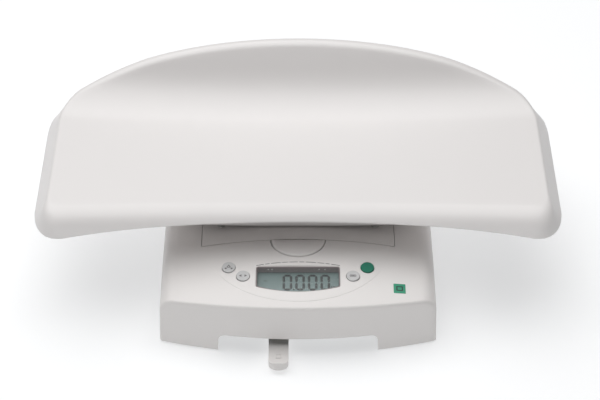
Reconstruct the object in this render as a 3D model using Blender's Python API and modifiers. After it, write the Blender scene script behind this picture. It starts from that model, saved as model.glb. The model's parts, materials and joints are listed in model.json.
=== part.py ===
"""Table-top electronic weighing scale with a removable curved tray, for small animals.

Metres, +Z up, +X to the right of someone who reads the display, +Y away from them.
The origin is on the table, in the middle of the whole object's box. Heights below count from
the lower edge of the base, and lift_onto_feet raises everything at the end.
The base stands on four levelling feet. A single-point load cell on the bottom plate carries
a bracket, the bracket carries the load plate, and the tray plugs onto the load plate.
"""

import math

import bmesh
import bpy
import numpy as np
from mathutils import Matrix, Vector

GAP = 0.0003  # between pieces that touch
WALL = 0.0025  # thickness of the plastic shells
FRONT = -0.1400  # Y of the middle of the base's front wall, at its lower edge
FOOT_REACH = 0.0025  # the base's lower edge stands this far above the table

# Base housing
BASE_HALF_WIDTH = 0.1415
BASE_DEPTH = 0.3000
BASE_BOW = 0.0205  # how far the front's ends lie behind its middle
BASE_BOTTOM = 0.0
FRONT_DRAFT = 0.0016  # lean of the front wall
SIDE_TOP_HALF_WIDTH = 0.1402
SHOULDER_RADIUS = 0.0180
PLATE_LEVEL = 0.0725  # top of the load plate in the middle
PANEL_FRONT_LEVEL = 0.0615  # top of the front wall in the middle
PANEL_LENGTH = 0.0850  # from the front wall back to the level part
PANEL_BLEND = 0.0150
CROWN = 0.0065  # drop of the top across CROWN_SPAN
CROWN_SPAN = 0.1160
SLOPE = math.atan2(PLATE_LEVEL - PANEL_FRONT_LEVEL, PANEL_LENGTH - FRONT_DRAFT)
FRONT_CORNER = 0.0030
REAR_CORNER = 0.0180
TOP_EDGE = 0.0030
NOTCH_HALF_WIDTH = 0.0805
NOTCH_TOP = 0.0205

# Load plate and its grip
SEAM_FRONT_MIDDLE = 0.0947
SEAM_FRONT_CORNER = 0.0890
SEAM_HALF_WIDTH = 0.0993
SEAM_REAR = 0.2850
SEAM_CORNER = 0.0050
SEAM_GAP = 0.0008
PLATE_THICKNESS = 0.0030
GRIP_HALF_WIDTH = 0.0278
GRIP_REACH = 0.0235

# Display and keys, in the sloping panel's own axes: x, v up the slope, w out of it
WINDOW_HALF_WIDTH = 0.0415
WINDOW_TOP = 0.0551
WINDOW_CORNER_BOTTOM = 0.0306
WINDOW_MIDDLE_BOTTOM = 0.0236
TUNNEL_WALL = 0.0008
LCD_DEPTH = 0.0090
BOARD_DEPTH = 0.0159
MAT_TOP = -0.0144
KEY_RADIUS = 0.0067
KEY_PROUD = 0.0014
KEY_TRAVEL = 0.0008
KEYS = {
    "key_outer_left": (-0.0705, 0.0559),
    "key_inner_left": (-0.0557, 0.0438),
    "key_inner_right": (0.0557, 0.0438),
    "key_outer_right": (0.0705, 0.0559),
}

# Tray: the section through its middle, then the rim
TRAY_LEVEL = 0.1236
COVE_START = 0.2213
COVE_RADIUS = 0.0646
COVE_ANGLE = math.radians(60)
TROUGH = 0.0085  # rise of the ends over TROUGH_SPAN
TROUGH_SPAN = 0.2546
RIM_BACK = 0.0906  # along the section, from the start of the cove
RIM_ELLIPSE = (0.2938, 0.1440)
RIM_FRONT = -0.1273
RIM_FRONT_BOW = 0.01175
RIM_SPAN = 0.2302
RIM_END = 0.2512
RIM_FRONT_CORNER = 0.01175
RIM_BACK_CORNER = 0.0441
TRAY_WALL = 0.0030
# (radius, angle, straight length) of the turned-down rim
FRONT_TURN = (0.0255, math.radians(50), 0.0)
FRONT_CORNER_MORE = (math.radians(20), 0.0049)
END_TURN = (0.0039, math.radians(60), 0.0230)
BACK_TURN = (0.0093, math.radians(150), 0.0029)
SKELETON_HALF = 0.1665
SKELETON_S = -0.0343

# Hull under the tray
HULL_HALF_LENGTH = 0.1560
HULL_FRONT = 0.1072
HULL_FRONT_BOW = 0.0190
HULL_REAR = 0.2720
HULL_CORNER = 0.0300
HULL_BOTTOM = 0.0740
HULL_RISE_SPAN = 0.1700
HULL_RISE = 0.0240
HULL_RIM_GAP = 0.0016

# Inner works
BOTTOM_PLATE = (0.0160, 0.0185)
CELL_CENTRE = (0.0, 0.1900)
CELL_SIZE = (0.1300, 0.0300, 0.0220)
LEVER_X = -0.0197
LEVER_TIP = -0.0260
LEVER_HALF_WIDTH = 0.0101
FOOT_PLACES = {"front_left": (-0.118, 0.050), "front_right": (0.118, 0.050),
               "rear_left": (-0.118, 0.272), "rear_right": (0.118, 0.272)}
BOSS_PLACES = ((-0.122, 0.090), (0.122, 0.090), (-0.122, 0.235), (0.122, 0.235))
POST_PLACES = ((-0.080, 0.120), (0.080, 0.120), (-0.080, 0.262), (0.080, 0.262))
PAD_RADIUS = 0.0060
PAD_PLACES = {"front_left": (-0.062, 0.128), "front_right": (0.062, 0.128),
              "rear_left": (-0.062, 0.252), "rear_right": (0.062, 0.252)}
BATTERY_BAY = (-0.1290, 0.1410, -0.0670, 0.1990)
VIAL_PLACE = (0.111, 0.262)
SOCKET_X = 0.090


# ---------------------------------------------------------------- scene and materials

def clear_scene():
    for obj in list(bpy.data.objects):
        bpy.data.objects.remove(obj, do_unlink=True)


def new_collection(name):
    collection = bpy.data.collections.new(name)
    bpy.context.scene.collection.children.link(collection)
    return collection


def material(name, colour, roughness, metallic=0.0):
    made = bpy.data.materials.get(name) or bpy.data.materials.new(name)
    made.use_nodes = True
    shader = made.node_tree.nodes["Principled BSDF"]
    shader.inputs["Base Color"].default_value = (*colour, 1.0)
    shader.inputs["Roughness"].default_value = roughness
    shader.inputs["Metallic"].default_value = metallic
    return made


clear_scene()
PARTS = new_collection("animal_weighing_scale")
CUTTERS = new_collection("cutters")
SHELL_WHITE = material("shell_white", (0.80, 0.79, 0.77), 0.35)
TRAY_WHITE = material("tray_white", (0.83, 0.82, 0.80), 0.30)
KEY_GREY = material("key_grey", (0.55, 0.56, 0.56), 0.45)
KEY_GREEN = material("key_green", (0.00, 0.28, 0.18), 0.40)
LABEL_GREEN = material("label_green", (0.02, 0.33, 0.20), 0.50)
SURROUND = material("lcd_surround", (0.16, 0.13, 0.14), 0.50)
LCD_GREY = material("lcd_glass", (0.33, 0.40, 0.38), 0.20)
CLEAR = material("clear_plastic", (0.90, 0.92, 0.92), 0.05)
BOARD = material("circuit_board", (0.03, 0.20, 0.08), 0.45)
SILICONE = material("silicone", (0.45, 0.46, 0.47), 0.60)
BLACK_RUBBER = material("black_rubber", (0.03, 0.03, 0.03), 0.80)
STEEL = material("zinc_steel", (0.62, 0.62, 0.60), 0.35, 1.0)
ALUMINIUM = material("milled_aluminium", (0.77, 0.78, 0.79), 0.30, 1.0)
INNER_GREY = material("inner_grey", (0.45, 0.45, 0.44), 0.50)
CELL_SLEEVE = material("cell_sleeve", (0.08, 0.10, 0.14), 0.35)


# ---------------------------------------------------------------- building blocks

def y_of(y):
    """World Y of a distance behind the middle of the base's front wall."""
    return FRONT + y


def add(name, mesh, look, helper=False):
    obj = bpy.data.objects.new(name, mesh)
    (CUTTERS if helper else PARTS).objects.link(obj)
    mesh.materials.append(look)
    if helper:
        obj.hide_render = True
        obj.display_type = "WIRE"
    return obj


def finish_mesh(name, bm, look, helper=False, smooth=True):
    bmesh.ops.recalc_face_normals(bm, faces=bm.faces)
    mesh = bpy.data.meshes.new(name)
    bm.to_mesh(mesh)
    bm.free()
    if smooth:
        mesh.shade_smooth()
        mesh.set_sharp_from_angle(angle=math.radians(35))
    return add(name, mesh, look, helper)


def bevel(obj, width, segments=2, angle=40):
    edges = obj.modifiers.new("rounded_edges", "BEVEL")
    edges.width = width
    edges.segments = segments
    edges.limit_method = "ANGLE"
    edges.angle_limit = math.radians(angle)
    return obj


def solidify(obj, thickness):
    walls = obj.modifiers.new("wall", "SOLIDIFY")
    walls.thickness = thickness
    walls.offset = -1.0
    walls.use_even_offset = True
    return obj


def boolean(obj, other, operation):
    step = obj.modifiers.new(operation.lower(), "BOOLEAN")
    step.object = other
    step.operation = operation
    return obj


def cut(obj, *cutters):
    for cutter in cutters:
        boolean(obj, cutter, "DIFFERENCE")
    return obj


def fuse(obj, *others):
    for other in others:
        boolean(obj, other, "UNION")
    return obj


def box(name, low, high, look, rounding=0.0, helper=False):
    """An upright box whose object sits at its own centre."""
    low, high = Vector(low), Vector(high)
    bm = bmesh.new()
    bmesh.ops.create_cube(bm, size=1.0)
    bmesh.ops.scale(bm, vec=high - low, verts=bm.verts)
    obj = finish_mesh(name, bm, look, helper, smooth=False)
    obj.location = (low + high) / 2
    if rounding:
        bevel(obj, rounding)
    return obj


def cylinder(name, centre, radius, length, look, axis="Z", sides=24, helper=False):
    bm = bmesh.new()
    bmesh.ops.create_cone(bm, cap_ends=True, segments=sides, radius1=radius, radius2=radius,
                          depth=length)
    obj = finish_mesh(name, bm, look, helper)
    obj.location = centre
    turns = {"X": (0, math.pi / 2, 0), "Y": (math.pi / 2, 0, 0), "Z": (0, 0, 0)}
    obj.rotation_euler = turns[axis]
    return obj


def turned(name, profile, location, look, steps=24, helper=False):
    """A turned piece: (radius, height) pairs from the top of its axis down its outer side."""
    mesh = bpy.data.meshes.new(name)
    points = [(radius, 0.0, height) for radius, height in profile]
    mesh.from_pydata(points, [(i, i + 1) for i in range(len(points) - 1)], [])
    obj = add(name, mesh, look, helper)
    obj.location = location
    screw = obj.modifiers.new("turn", "SCREW")
    screw.axis = "Z"
    screw.steps = steps
    screw.render_steps = steps
    screw.use_merge_vertices = True
    screw.merge_threshold = 0.00002
    screw.use_smooth_shade = True
    return obj


def plate_from_outlines(name, outlines, low, high, look, helper=False):
    """A flat piece with straight walls: the first outline is its edge, the others are holes."""
    curve = bpy.data.curves.new(name, "CURVE")
    curve.dimensions = "2D"
    curve.fill_mode = "BOTH"
    curve.extrude = (high - low) / 2
    for outline in outlines:
        spline = curve.splines.new("POLY")
        spline.points.add(len(outline) - 1)
        for point, (x, y) in zip(spline.points, outline):
            point.co = (x, y, 0.0, 1.0)
        spline.use_cyclic_u = True
    shape = bpy.data.objects.new(name + "_outline", curve)
    shape.location = (0.0, 0.0, (low + high) / 2)
    CUTTERS.objects.link(shape)
    bpy.context.view_layer.update()
    solid = shape.evaluated_get(bpy.context.evaluated_depsgraph_get())
    mesh = bpy.data.meshes.new_from_object(solid)
    mesh.materials.clear()
    bm = bmesh.new()
    bm.from_mesh(mesh)
    bmesh.ops.remove_doubles(bm, verts=bm.verts, dist=0.00001)
    bmesh.ops.recalc_face_normals(bm, faces=bm.faces)
    bm.to_mesh(mesh)
    bm.free()
    obj = add(name, mesh, look, helper)
    obj.matrix_world = shape.matrix_world
    bpy.data.objects.remove(shape, do_unlink=True)
    return obj


def rounded_box_outline(low, high, radius, steps=5):
    """Corner points of a rectangle with round corners, anticlockwise."""
    corners = ((high[0], high[1], 0), (low[0], high[1], 90), (low[0], low[1], 180),
               (high[0], low[1], 270))
    points = []
    for x, y, start in corners:
        inward_x = x - radius if x == high[0] else x + radius
        inward_y = y - radius if y == high[1] else y + radius
        for step in range(steps + 1):
            angle = math.radians(start + 90 * step / steps)
            points.append((inward_x + radius * math.cos(angle), inward_y + radius * math.sin(angle)))
    return points


def surface_from_rings(name, rings, look):
    """An open surface through closed rings of equal length, the last of them folded flat."""
    bm = bmesh.new()
    rows = [[bm.verts.new(point) for point in ring] for ring in rings]
    count = len(rows[0])
    for outer, inner in zip(rows, rows[1:]):
        for i in range(count):
            j = (i + 1) % count
            bm.faces.new((outer[i], outer[j], inner[j], inner[i]))
    bmesh.ops.remove_doubles(bm, verts=bm.verts, dist=0.000005)
    bmesh.ops.dissolve_degenerate(bm, edges=bm.edges, dist=0.000005)
    upward = sum(face.normal.z * face.calc_area() for face in bm.faces)
    if upward < 0:
        bmesh.ops.reverse_faces(bm, faces=bm.faces)
    mesh = bpy.data.meshes.new(name)
    bm.to_mesh(mesh)
    bm.free()
    mesh.shade_smooth()
    return add(name, mesh, look)


def smooth_step(low, high, value):
    t = np.clip((value - low) / (high - low), 0.0, 1.0)
    return t * t * (3 - 2 * t)


# ---------------------------------------------------------------- base housing

def front_bow(x):
    return BASE_BOW * (x / BASE_HALF_WIDTH) ** 2


def top_height(x, y):
    """Height of the base's outer top: a crowned panel that slopes up to a level part."""
    before = PANEL_LENGTH - y
    slope = math.tan(SLOPE)
    if before < -PANEL_BLEND:
        drop = 0.0
    elif before < PANEL_BLEND:
        drop = slope * (before + PANEL_BLEND) ** 2 / (4 * PANEL_BLEND)
    else:
        drop = slope * before
    return PLATE_LEVEL - drop - CROWN * (x / CROWN_SPAN) ** 2


def shoulder_section():
    """(x, drop below the crown line at its start, starts the arc) of the top's right half."""
    slope = math.atan(2 * CROWN * (SIDE_TOP_HALF_WIDTH - SHOULDER_RADIUS) / CROWN_SPAN ** 2)
    centre = SIDE_TOP_HALF_WIDTH - SHOULDER_RADIUS
    start = centre + SHOULDER_RADIUS * math.sin(slope)
    arc = []
    for step in range(1, 7):
        angle = slope + (math.pi / 2 - slope) * step / 6
        drop = SHOULDER_RADIUS * (math.cos(slope) - math.cos(angle))
        arc.append((centre + SHOULDER_RADIUS * math.sin(angle), drop))
    return start, arc


def base_stations():
    """(distance behind the front, distance from the nearer end, corner radius) along the base."""
    before_middle = (0.0, 0.0005, 0.0015, 0.003, 0.035, 0.070, 0.078, 0.085, 0.092, 0.100)
    behind_middle = (0.140, 0.070, 0.018, 0.011, 0.006, 0.003, 0.0009, 0.0)
    rows = [(distance, distance, FRONT_CORNER) for distance in before_middle]
    return rows + [(BASE_DEPTH - end, end, REAR_CORNER) for end in behind_middle]


def corner_inset(distance, radius):
    """How far a round corner draws in at this distance from the end."""
    if distance >= radius:
        return 0.0
    return radius - math.sqrt(radius ** 2 - (radius - distance) ** 2)


def make_base_housing():
    start, arc = shoulder_section()
    flat = [start * k / 6 for k in range(7)]
    half = [(x, 0.0) for x in flat] + arc
    section = [(-x, drop) for x, drop in reversed(half[1:])] + half
    bm = bmesh.new()
    tops, feet = [], []
    for depth, distance, radius in base_stations():
        narrow = 1 - corner_inset(distance, radius) / SIDE_TOP_HALF_WIDTH
        edge_drop = corner_inset(distance, TOP_EDGE)
        tops.append([])
        feet.append([])
        for x, drop in section:
            width = x * narrow
            share = 1 - depth / BASE_DEPTH
            y = share * (front_bow(width) + FRONT_DRAFT) + depth
            height = top_height(min(abs(width), start), y) - drop - edge_drop
            tops[-1].append(bm.verts.new((width, y_of(y), height)))
            foot_x = width * BASE_HALF_WIDTH / SIDE_TOP_HALF_WIDTH
            foot_y = y - FRONT_DRAFT * share
            feet[-1].append(bm.verts.new((foot_x, y_of(foot_y), BASE_BOTTOM)))
    last = len(section) - 1
    for near, far in zip(tops, tops[1:]):
        for i in range(last):
            bm.faces.new((near[i], near[i + 1], far[i + 1], far[i]))
    for end in (0, -1):
        for i in range(last):
            bm.faces.new((tops[end][i], tops[end][i + 1], feet[end][i + 1], feet[end][i]))
    for side in (0, last):
        for j in range(len(tops) - 1):
            bm.faces.new((tops[j][side], tops[j + 1][side], feet[j + 1][side], feet[j][side]))
    bmesh.ops.delete(bm, geom=[v for v in bm.verts if not v.link_faces], context="VERTS")
    bmesh.ops.recalc_face_normals(bm, faces=bm.faces)
    mesh = bpy.data.meshes.new("base_housing")
    bm.to_mesh(mesh)
    bm.free()
    mesh.shade_smooth()
    housing = add("base_housing", mesh, SHELL_WHITE)
    solidify(housing, WALL)
    for i, (x, y) in enumerate(BOSS_PLACES):
        top = top_height(x, y) - 0.0012
        low = BOTTOM_PLATE[1] + GAP
        boss = cylinder(f"boss_{i}", (x, y_of(y), (low + top) / 2), 0.0050, top - low, SHELL_WHITE,
                        sides=16, helper=True)
        bore = cylinder(f"boss_bore_{i}", (x, y_of(y), 0.0255), 0.0020, 0.0170, SHELL_WHITE,
                        sides=12, helper=True)
        fuse(housing, boss)
        cut(housing, bore)
    cut(housing, front_notch(), plate_opening(), window_opening(), socket_hole(), vial_hole())
    cut(housing, *(key_hole(name) for name in KEYS))
    return housing


def front_notch():
    """The wide cut-out under the front wall, with round upper corners and leaning sides."""
    radius = 0.0070
    outline = [(-NOTCH_HALF_WIDTH - 0.0016, -0.0100), (NOTCH_HALF_WIDTH + 0.0016, -0.0100)]
    for side, begin in ((1, 0), (-1, 90)):
        for step in range(6):
            angle = math.radians(begin + 90 * step / 5)
            outline.append((side * (NOTCH_HALF_WIDTH - radius) + radius * math.cos(angle),
                            NOTCH_TOP - radius + radius * math.sin(angle)))
    notch = plate_from_outlines("front_notch", [outline], -0.030, 0.030, SHELL_WHITE, helper=True)
    notch.matrix_world = Matrix.Translation((0, FRONT, 0)) @ Matrix.Rotation(math.pi / 2, 4, "X")
    return notch


def seam_front(x):
    """Distance of the load plate's front edge behind the front wall."""
    return SEAM_FRONT_MIDDLE - (SEAM_FRONT_MIDDLE - SEAM_FRONT_CORNER) * (x / SEAM_HALF_WIDTH) ** 2


def seam_outline(spare, columns=16):
    """Outline of the load plate, or of its opening when spare is above 0."""
    corner = SEAM_CORNER
    half = SEAM_HALF_WIDTH + spare
    front = [(half * (2 * k / columns - 1), seam_front(half * (2 * k / columns - 1)) - spare)
             for k in range(columns + 1)]
    rear = []
    for side, begin in ((1, 0), (-1, 90)):
        for step in range(4):
            angle = math.radians(begin + 90 * step / 3)
            rear.append((side * (half - corner) + corner * math.cos(angle),
                         SEAM_REAR + spare - corner + corner * math.sin(angle)))
    return [(x, y_of(y)) for x, y in front + rear]


def grip_outline(spare, steps=14):
    """Half-moon in front of the seam, its straight side just in front of the load plate."""
    points = []
    for step in range(steps + 1):
        angle = math.pi + math.pi * step / steps
        x = (GRIP_HALF_WIDTH + spare) * math.cos(angle)
        y = SEAM_FRONT_MIDDLE - SEAM_GAP + (GRIP_REACH + spare) * math.sin(angle)
        points.append((x, y_of(y)))
    return points


def plate_opening():
    seam = plate_from_outlines("plate_opening", [seam_outline(SEAM_GAP)], 0.055, 0.085, SHELL_WHITE,
                               helper=True)
    moon = grip_outline(SEAM_GAP)
    moon += [(x, y_of(SEAM_FRONT_MIDDLE + 0.004)) for x in (GRIP_HALF_WIDTH, -GRIP_HALF_WIDTH)]
    grip = plate_from_outlines("grip_opening", [moon], 0.056, 0.084, SHELL_WHITE, helper=True)
    return fuse(seam, grip)


def socket_hole():
    return cylinder("socket_hole", (SOCKET_X, y_of(BASE_DEPTH), 0.030), 0.0050, 0.020, SHELL_WHITE,
                    axis="Y", helper=True)


def vial_hole():
    x, y = VIAL_PLACE
    return cylinder("vial_hole", (x, y_of(y), 0.070), 0.0073, 0.030, SHELL_WHITE, helper=True)


# ---------------------------------------------------------------- sloping panel

def make_panel_frame():
    """Empty whose axes are x, up the slope, and out of the sloping panel."""
    empty = bpy.data.objects.new("panel_frame", None)
    PARTS.objects.link(empty)
    empty.location = (0.0, y_of(FRONT_DRAFT), PANEL_FRONT_LEVEL)
    empty.rotation_euler = (SLOPE, 0.0, 0.0)
    bpy.context.view_layer.update()
    return empty


def on_panel(obj):
    obj.parent = PANEL
    return obj


def crown_drop(x):
    return CROWN * (x / CROWN_SPAN) ** 2


def window_outline(spare, steps=10):
    """Display window: straight top, round near side, small corner radii left to the bevel."""
    half = WINDOW_HALF_WIDTH + spare
    points = [(half, WINDOW_TOP + spare), (-half, WINDOW_TOP + spare)]
    sag = WINDOW_CORNER_BOTTOM - WINDOW_MIDDLE_BOTTOM
    for step in range(steps + 1):
        x = -half + 2 * half * step / steps
        points.append((x, WINDOW_CORNER_BOTTOM - sag * (1 - (x / half) ** 2) - spare))
    return points


def window_opening():
    spare = TUNNEL_WALL + GAP
    opening = plate_from_outlines("window_opening", [window_outline(spare)], -0.008, 0.006,
                                  SHELL_WHITE, helper=True)
    return on_panel(opening)


def key_hole(name):
    x, v = KEYS[name]
    hole = cylinder(name + "_hole", (x, v, -0.002), KEY_RADIUS + 0.0004, 0.016, SHELL_WHITE,
                    helper=True)
    return on_panel(hole)


def make_lcd_surround():
    """Dark tunnel between the window in the housing and the LCD, with a foot flange."""
    tunnel = plate_from_outlines("lcd_surround", [window_outline(TUNNEL_WALL), window_outline(0.0)],
                                 -LCD_DEPTH + GAP, -0.0006, SURROUND)
    edge = rounded_box_outline((-0.0475, 0.0180), (0.0475, 0.0600), 0.0020)
    flange = plate_from_outlines("lcd_surround_flange", [edge, window_outline(0.0002)],
                                 -LCD_DEPTH + GAP, -LCD_DEPTH + 0.0018, SURROUND, helper=True)
    return on_panel(fuse(tunnel, on_panel(flange)))


def make_lcd_window():
    return on_panel(plate_from_outlines("lcd_window", [window_outline(-GAP)], -0.0024, -0.0014, CLEAR))


def make_lcd_module():
    return on_panel(box("lcd_module", (-0.0445, 0.0190, -BOARD_DEPTH + GAP),
                        (0.0445, 0.0590, -LCD_DEPTH), LCD_GREY, 0.0004))


def make_display_board():
    outline = rounded_box_outline((-0.0840, 0.0150), (0.0840, 0.0690), 0.0030)
    return on_panel(plate_from_outlines("display_board", [outline], -BOARD_DEPTH - 0.0016,
                                        -BOARD_DEPTH, BOARD))


def make_key_mat():
    """Silicone sheet around the LCD, with a dome under each key."""
    outer = rounded_box_outline((-0.0820, 0.0340), (0.0820, 0.0680), 0.0030)
    hole = [(-0.0452, 0.0345), (0.0452, 0.0345), (0.0452, 0.0615), (-0.0452, 0.0615)]
    mat = plate_from_outlines("key_mat", [outer, hole], -BOARD_DEPTH + GAP, MAT_TOP, SILICONE)
    near = box("mat_opening", (-0.0452, 0.0300, -0.020), (0.0452, 0.0350, -0.010), SILICONE,
               helper=True)
    cut(mat, on_panel(near))
    for name, (x, v) in KEYS.items():
        dome = cylinder(name + "_dome", (x, v, MAT_TOP + 0.0010), 0.0050, 0.0030, SILICONE, helper=True)
        fuse(mat, on_panel(dome))
    return on_panel(mat)


def make_keys():
    """Four round keys: each object's origin is in the middle of its cap's underside."""
    for name, (x, v) in KEYS.items():
        look = KEY_GREEN if name == "key_outer_right" else KEY_GREY
        top = KEY_PROUD
        stem_foot = MAT_TOP + 0.0025 + KEY_TRAVEL + 0.0001 + crown_drop(x)
        profile = [(0.0, top), (KEY_RADIUS - 0.0008, top), (KEY_RADIUS, top - 0.0007),
                   (KEY_RADIUS, -0.0030), (0.0030, -0.0030), (0.0030, stem_foot), (0.0, stem_foot)]
        key = turned(name, profile, (x, v, -crown_drop(x)), look, steps=20)
        on_panel(key)


def make_approval_label():
    x, y = 0.1025, 0.0325
    label = box("approval_label", (-0.0061, -0.0061, -0.00015), (0.0061, 0.0061, 0.00015), LABEL_GREEN)
    across = math.atan(2 * CROWN * x / CROWN_SPAN ** 2)
    turn = Matrix.Rotation(SLOPE, 4, "X") @ Matrix.Rotation(across, 4, "Y")
    normal = turn.to_3x3() @ Vector((0, 0, 1))
    place = Vector((x, y_of(y), top_height(x, y))) + normal * (GAP + 0.00025)
    label.matrix_world = Matrix.Translation(place) @ turn
    return label


# ---------------------------------------------------------------- tray

def tray_section(s):
    """(y, height, tilt) of the section through the tray's middle, s along it from the cove."""
    along = max(s, 0.0)
    angle = min(along / COVE_RADIUS, COVE_ANGLE)
    straight = max(along - COVE_RADIUS * COVE_ANGLE, 0.0)
    y = COVE_START + min(s, 0.0) + COVE_RADIUS * math.sin(angle) + straight * math.cos(COVE_ANGLE)
    z = TRAY_LEVEL + COVE_RADIUS * (1 - math.cos(angle)) + straight * math.sin(COVE_ANGLE)
    return y, z, angle


def tray_point(x, s):
    y, z, _ = tray_section(s)
    return Vector((x, y_of(y), z + TROUGH * (x / TROUGH_SPAN) ** 2))


def tray_axes(x, s):
    """Unit vectors along x, along s and out of the tray's upper face."""
    tilt = tray_section(s)[2]
    along_x = Vector((1.0, 0.0, 2 * TROUGH * x / TROUGH_SPAN ** 2)).normalized()
    along_s = Vector((0.0, math.cos(tilt), math.sin(tilt)))
    return along_x, along_s, along_x.cross(along_s).normalized()


def rim_front(x):
    return RIM_FRONT - RIM_FRONT_BOW * (x / RIM_SPAN) ** 2


def rim_back(x):
    a, b = RIM_ELLIPSE
    return RIM_BACK - b * (1 - math.sqrt(1 - (x / a) ** 2))


def front_fillet():
    """(tangent x, tangent s, centre s, direction) of the corner between front and end."""
    radius = RIM_FRONT_CORNER
    x = RIM_END - radius
    direction = math.atan((rim_front(x + 0.0001) - rim_front(x)) / 0.0001)
    tangent_x = x + radius * math.sin(direction)
    tangent_s = rim_front(tangent_x)
    return tangent_x, tangent_s, tangent_s + radius * math.cos(direction), direction


def back_fillet():
    """The same for the corner between the end and the elliptical back."""
    a, b = RIM_ELLIPSE
    radius = RIM_BACK_CORNER
    low, high = RIM_END - 1.7 * radius, RIM_END - 0.0005
    for _ in range(50):
        x = (low + high) / 2
        direction = math.atan(-b * x / (a * a * math.sqrt(1 - (x / a) ** 2)))
        if x + radius * math.sin(direction) > RIM_END - radius:
            high = x
        else:
            low = x
    s = rim_back(x)
    return x, s, s - radius * math.cos(direction), direction


def rim_path(middle, side, corner, end, back_corner, back_side):
    """Right half of the line where the rim begins to turn, from the front's middle to the
    back's middle, as (x, s, outward angle). The arguments are numbers of steps."""
    fx, fs, front_centre, front_direction = front_fillet()
    bx, bs, back_centre, back_direction = back_fillet()
    path = []

    def along(x_from, x_to, steps, line, sign):
        for step in range(steps):
            x = x_from + (x_to - x_from) * step / steps
            slope = (line(x + 0.0001) - line(x - 0.0001)) / 0.0002
            path.append((x, line(x), math.atan2(sign, -sign * slope)))

    along(0.0, SKELETON_HALF, middle, rim_front, -1)
    along(SKELETON_HALF, fx, side, rim_front, -1)
    for step in range(corner):
        angle = front_direction - math.pi / 2 + (math.pi / 2 - front_direction) * step / corner
        path.append((RIM_END + RIM_FRONT_CORNER * (math.cos(angle) - 1),
                     front_centre + RIM_FRONT_CORNER * math.sin(angle), angle))
    for step in range(end):
        s = front_centre + (back_centre - front_centre) * step / end
        path.append((RIM_END, s, 0.0))
    for step in range(back_corner):
        angle = (math.pi / 2 + back_direction) * step / back_corner
        path.append((RIM_END + RIM_BACK_CORNER * (math.cos(angle) - 1),
                     back_centre + RIM_BACK_CORNER * math.sin(angle), angle))
    along(bx, SKELETON_HALF, back_side, rim_back, 1)
    along(SKELETON_HALF, 0.0, middle, rim_back, 1)
    path.append((0.0, rim_back(0.0), math.pi / 2))
    return path


def whole_loop(path):
    """Both halves of a right-half path, as (x, s, outward angle), anticlockwise."""
    left = [(-x, s, math.pi - angle) for x, s, angle in reversed(path[1:-1])]
    return path + left


def rim_turn(x, angle):
    """(radius, angle, straight length) of the rim where its outward direction is this."""
    outward = math.atan2(math.sin(angle), abs(math.cos(angle)))
    across = min(abs(x) / RIM_SPAN, 1.1)
    front = (FRONT_TURN[0], FRONT_TURN[1] + FRONT_CORNER_MORE[0] * across ** 2,
             FRONT_TURN[2] + FRONT_CORNER_MORE[1] * across ** 4)
    to_end = smooth_step(math.radians(-85), math.radians(-5), outward)
    to_back = smooth_step(math.radians(15), math.radians(85), outward)
    turn = []
    for at_front, at_end, at_back in zip(front, END_TURN, BACK_TURN):
        value = at_front * (1 - to_end) + at_end * to_end
        turn.append(value * (1 - to_back) + at_back * to_back)
    return turn


def tray_rings(path, inner_steps, arc_steps, straight_steps):
    """Rings of the tray from the rim's lower edge, over the rim, to the middle."""
    loop = whole_loop(path)
    outer = []
    for k in range(straight_steps, 0, -1):
        outer.append([turned_point(x, s, angle, 1.0, k / straight_steps) for x, s, angle in loop])
    for k in range(arc_steps, 0, -1):
        outer.append([turned_point(x, s, angle, k / arc_steps, 0.0) for x, s, angle in loop])
    inner = []
    for k in range(inner_steps + 1):
        share = k / inner_steps
        ring = []
        for x, s, _ in loop:
            core = max(-SKELETON_HALF, min(SKELETON_HALF, x))
            ring.append(tray_point(x + (core - x) * share, s + (SKELETON_S - s) * share))
        inner.append(ring)
    return outer + inner


def turned_point(x, s, angle, arc_share, straight_share):
    radius, turn, straight = rim_turn(x, angle)
    along_x, along_s, normal = tray_axes(x, s)
    outward = (along_x * math.cos(angle) + along_s * math.sin(angle)).normalized()
    bend = turn * arc_share
    point = tray_point(x, s) + outward * radius * math.sin(bend)
    point -= normal * radius * (1 - math.cos(bend))
    return point + (outward * math.cos(bend) - normal * math.sin(bend)) * straight * straight_share


def make_tray_shell():
    path = rim_path(middle=7, side=3, corner=3, end=6, back_corner=4, back_side=4)
    tray = surface_from_rings("tray_shell", tray_rings(path, 8, 4, 1), TRAY_WHITE)
    return solidify(tray, TRAY_WALL)


def tray_underside(x, y):
    """Height of the tray's lower face above a point, where the tray is about level."""
    level = TRAY_LEVEL + TROUGH * (x / TROUGH_SPAN) ** 2 - TRAY_WALL
    turn_start = COVE_START + rim_front(x)
    before = turn_start - y
    if before > 0:
        radius = FRONT_TURN[0] - TRAY_WALL
        before = min(before, radius * 0.9)
        level -= radius - math.sqrt(radius ** 2 - before ** 2)
    behind = y - COVE_START
    if behind > 0:
        radius = COVE_RADIUS + TRAY_WALL
        level += radius - math.sqrt(radius ** 2 - behind ** 2)
    return level


# ---------------------------------------------------------------- hull under the tray

def hull_bottom(x):
    share = min(abs(x) / HULL_RISE_SPAN, 1.0)
    return HULL_BOTTOM + HULL_RISE * (1 - (1 - share ** 2.4) ** (2 / 3))


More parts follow.
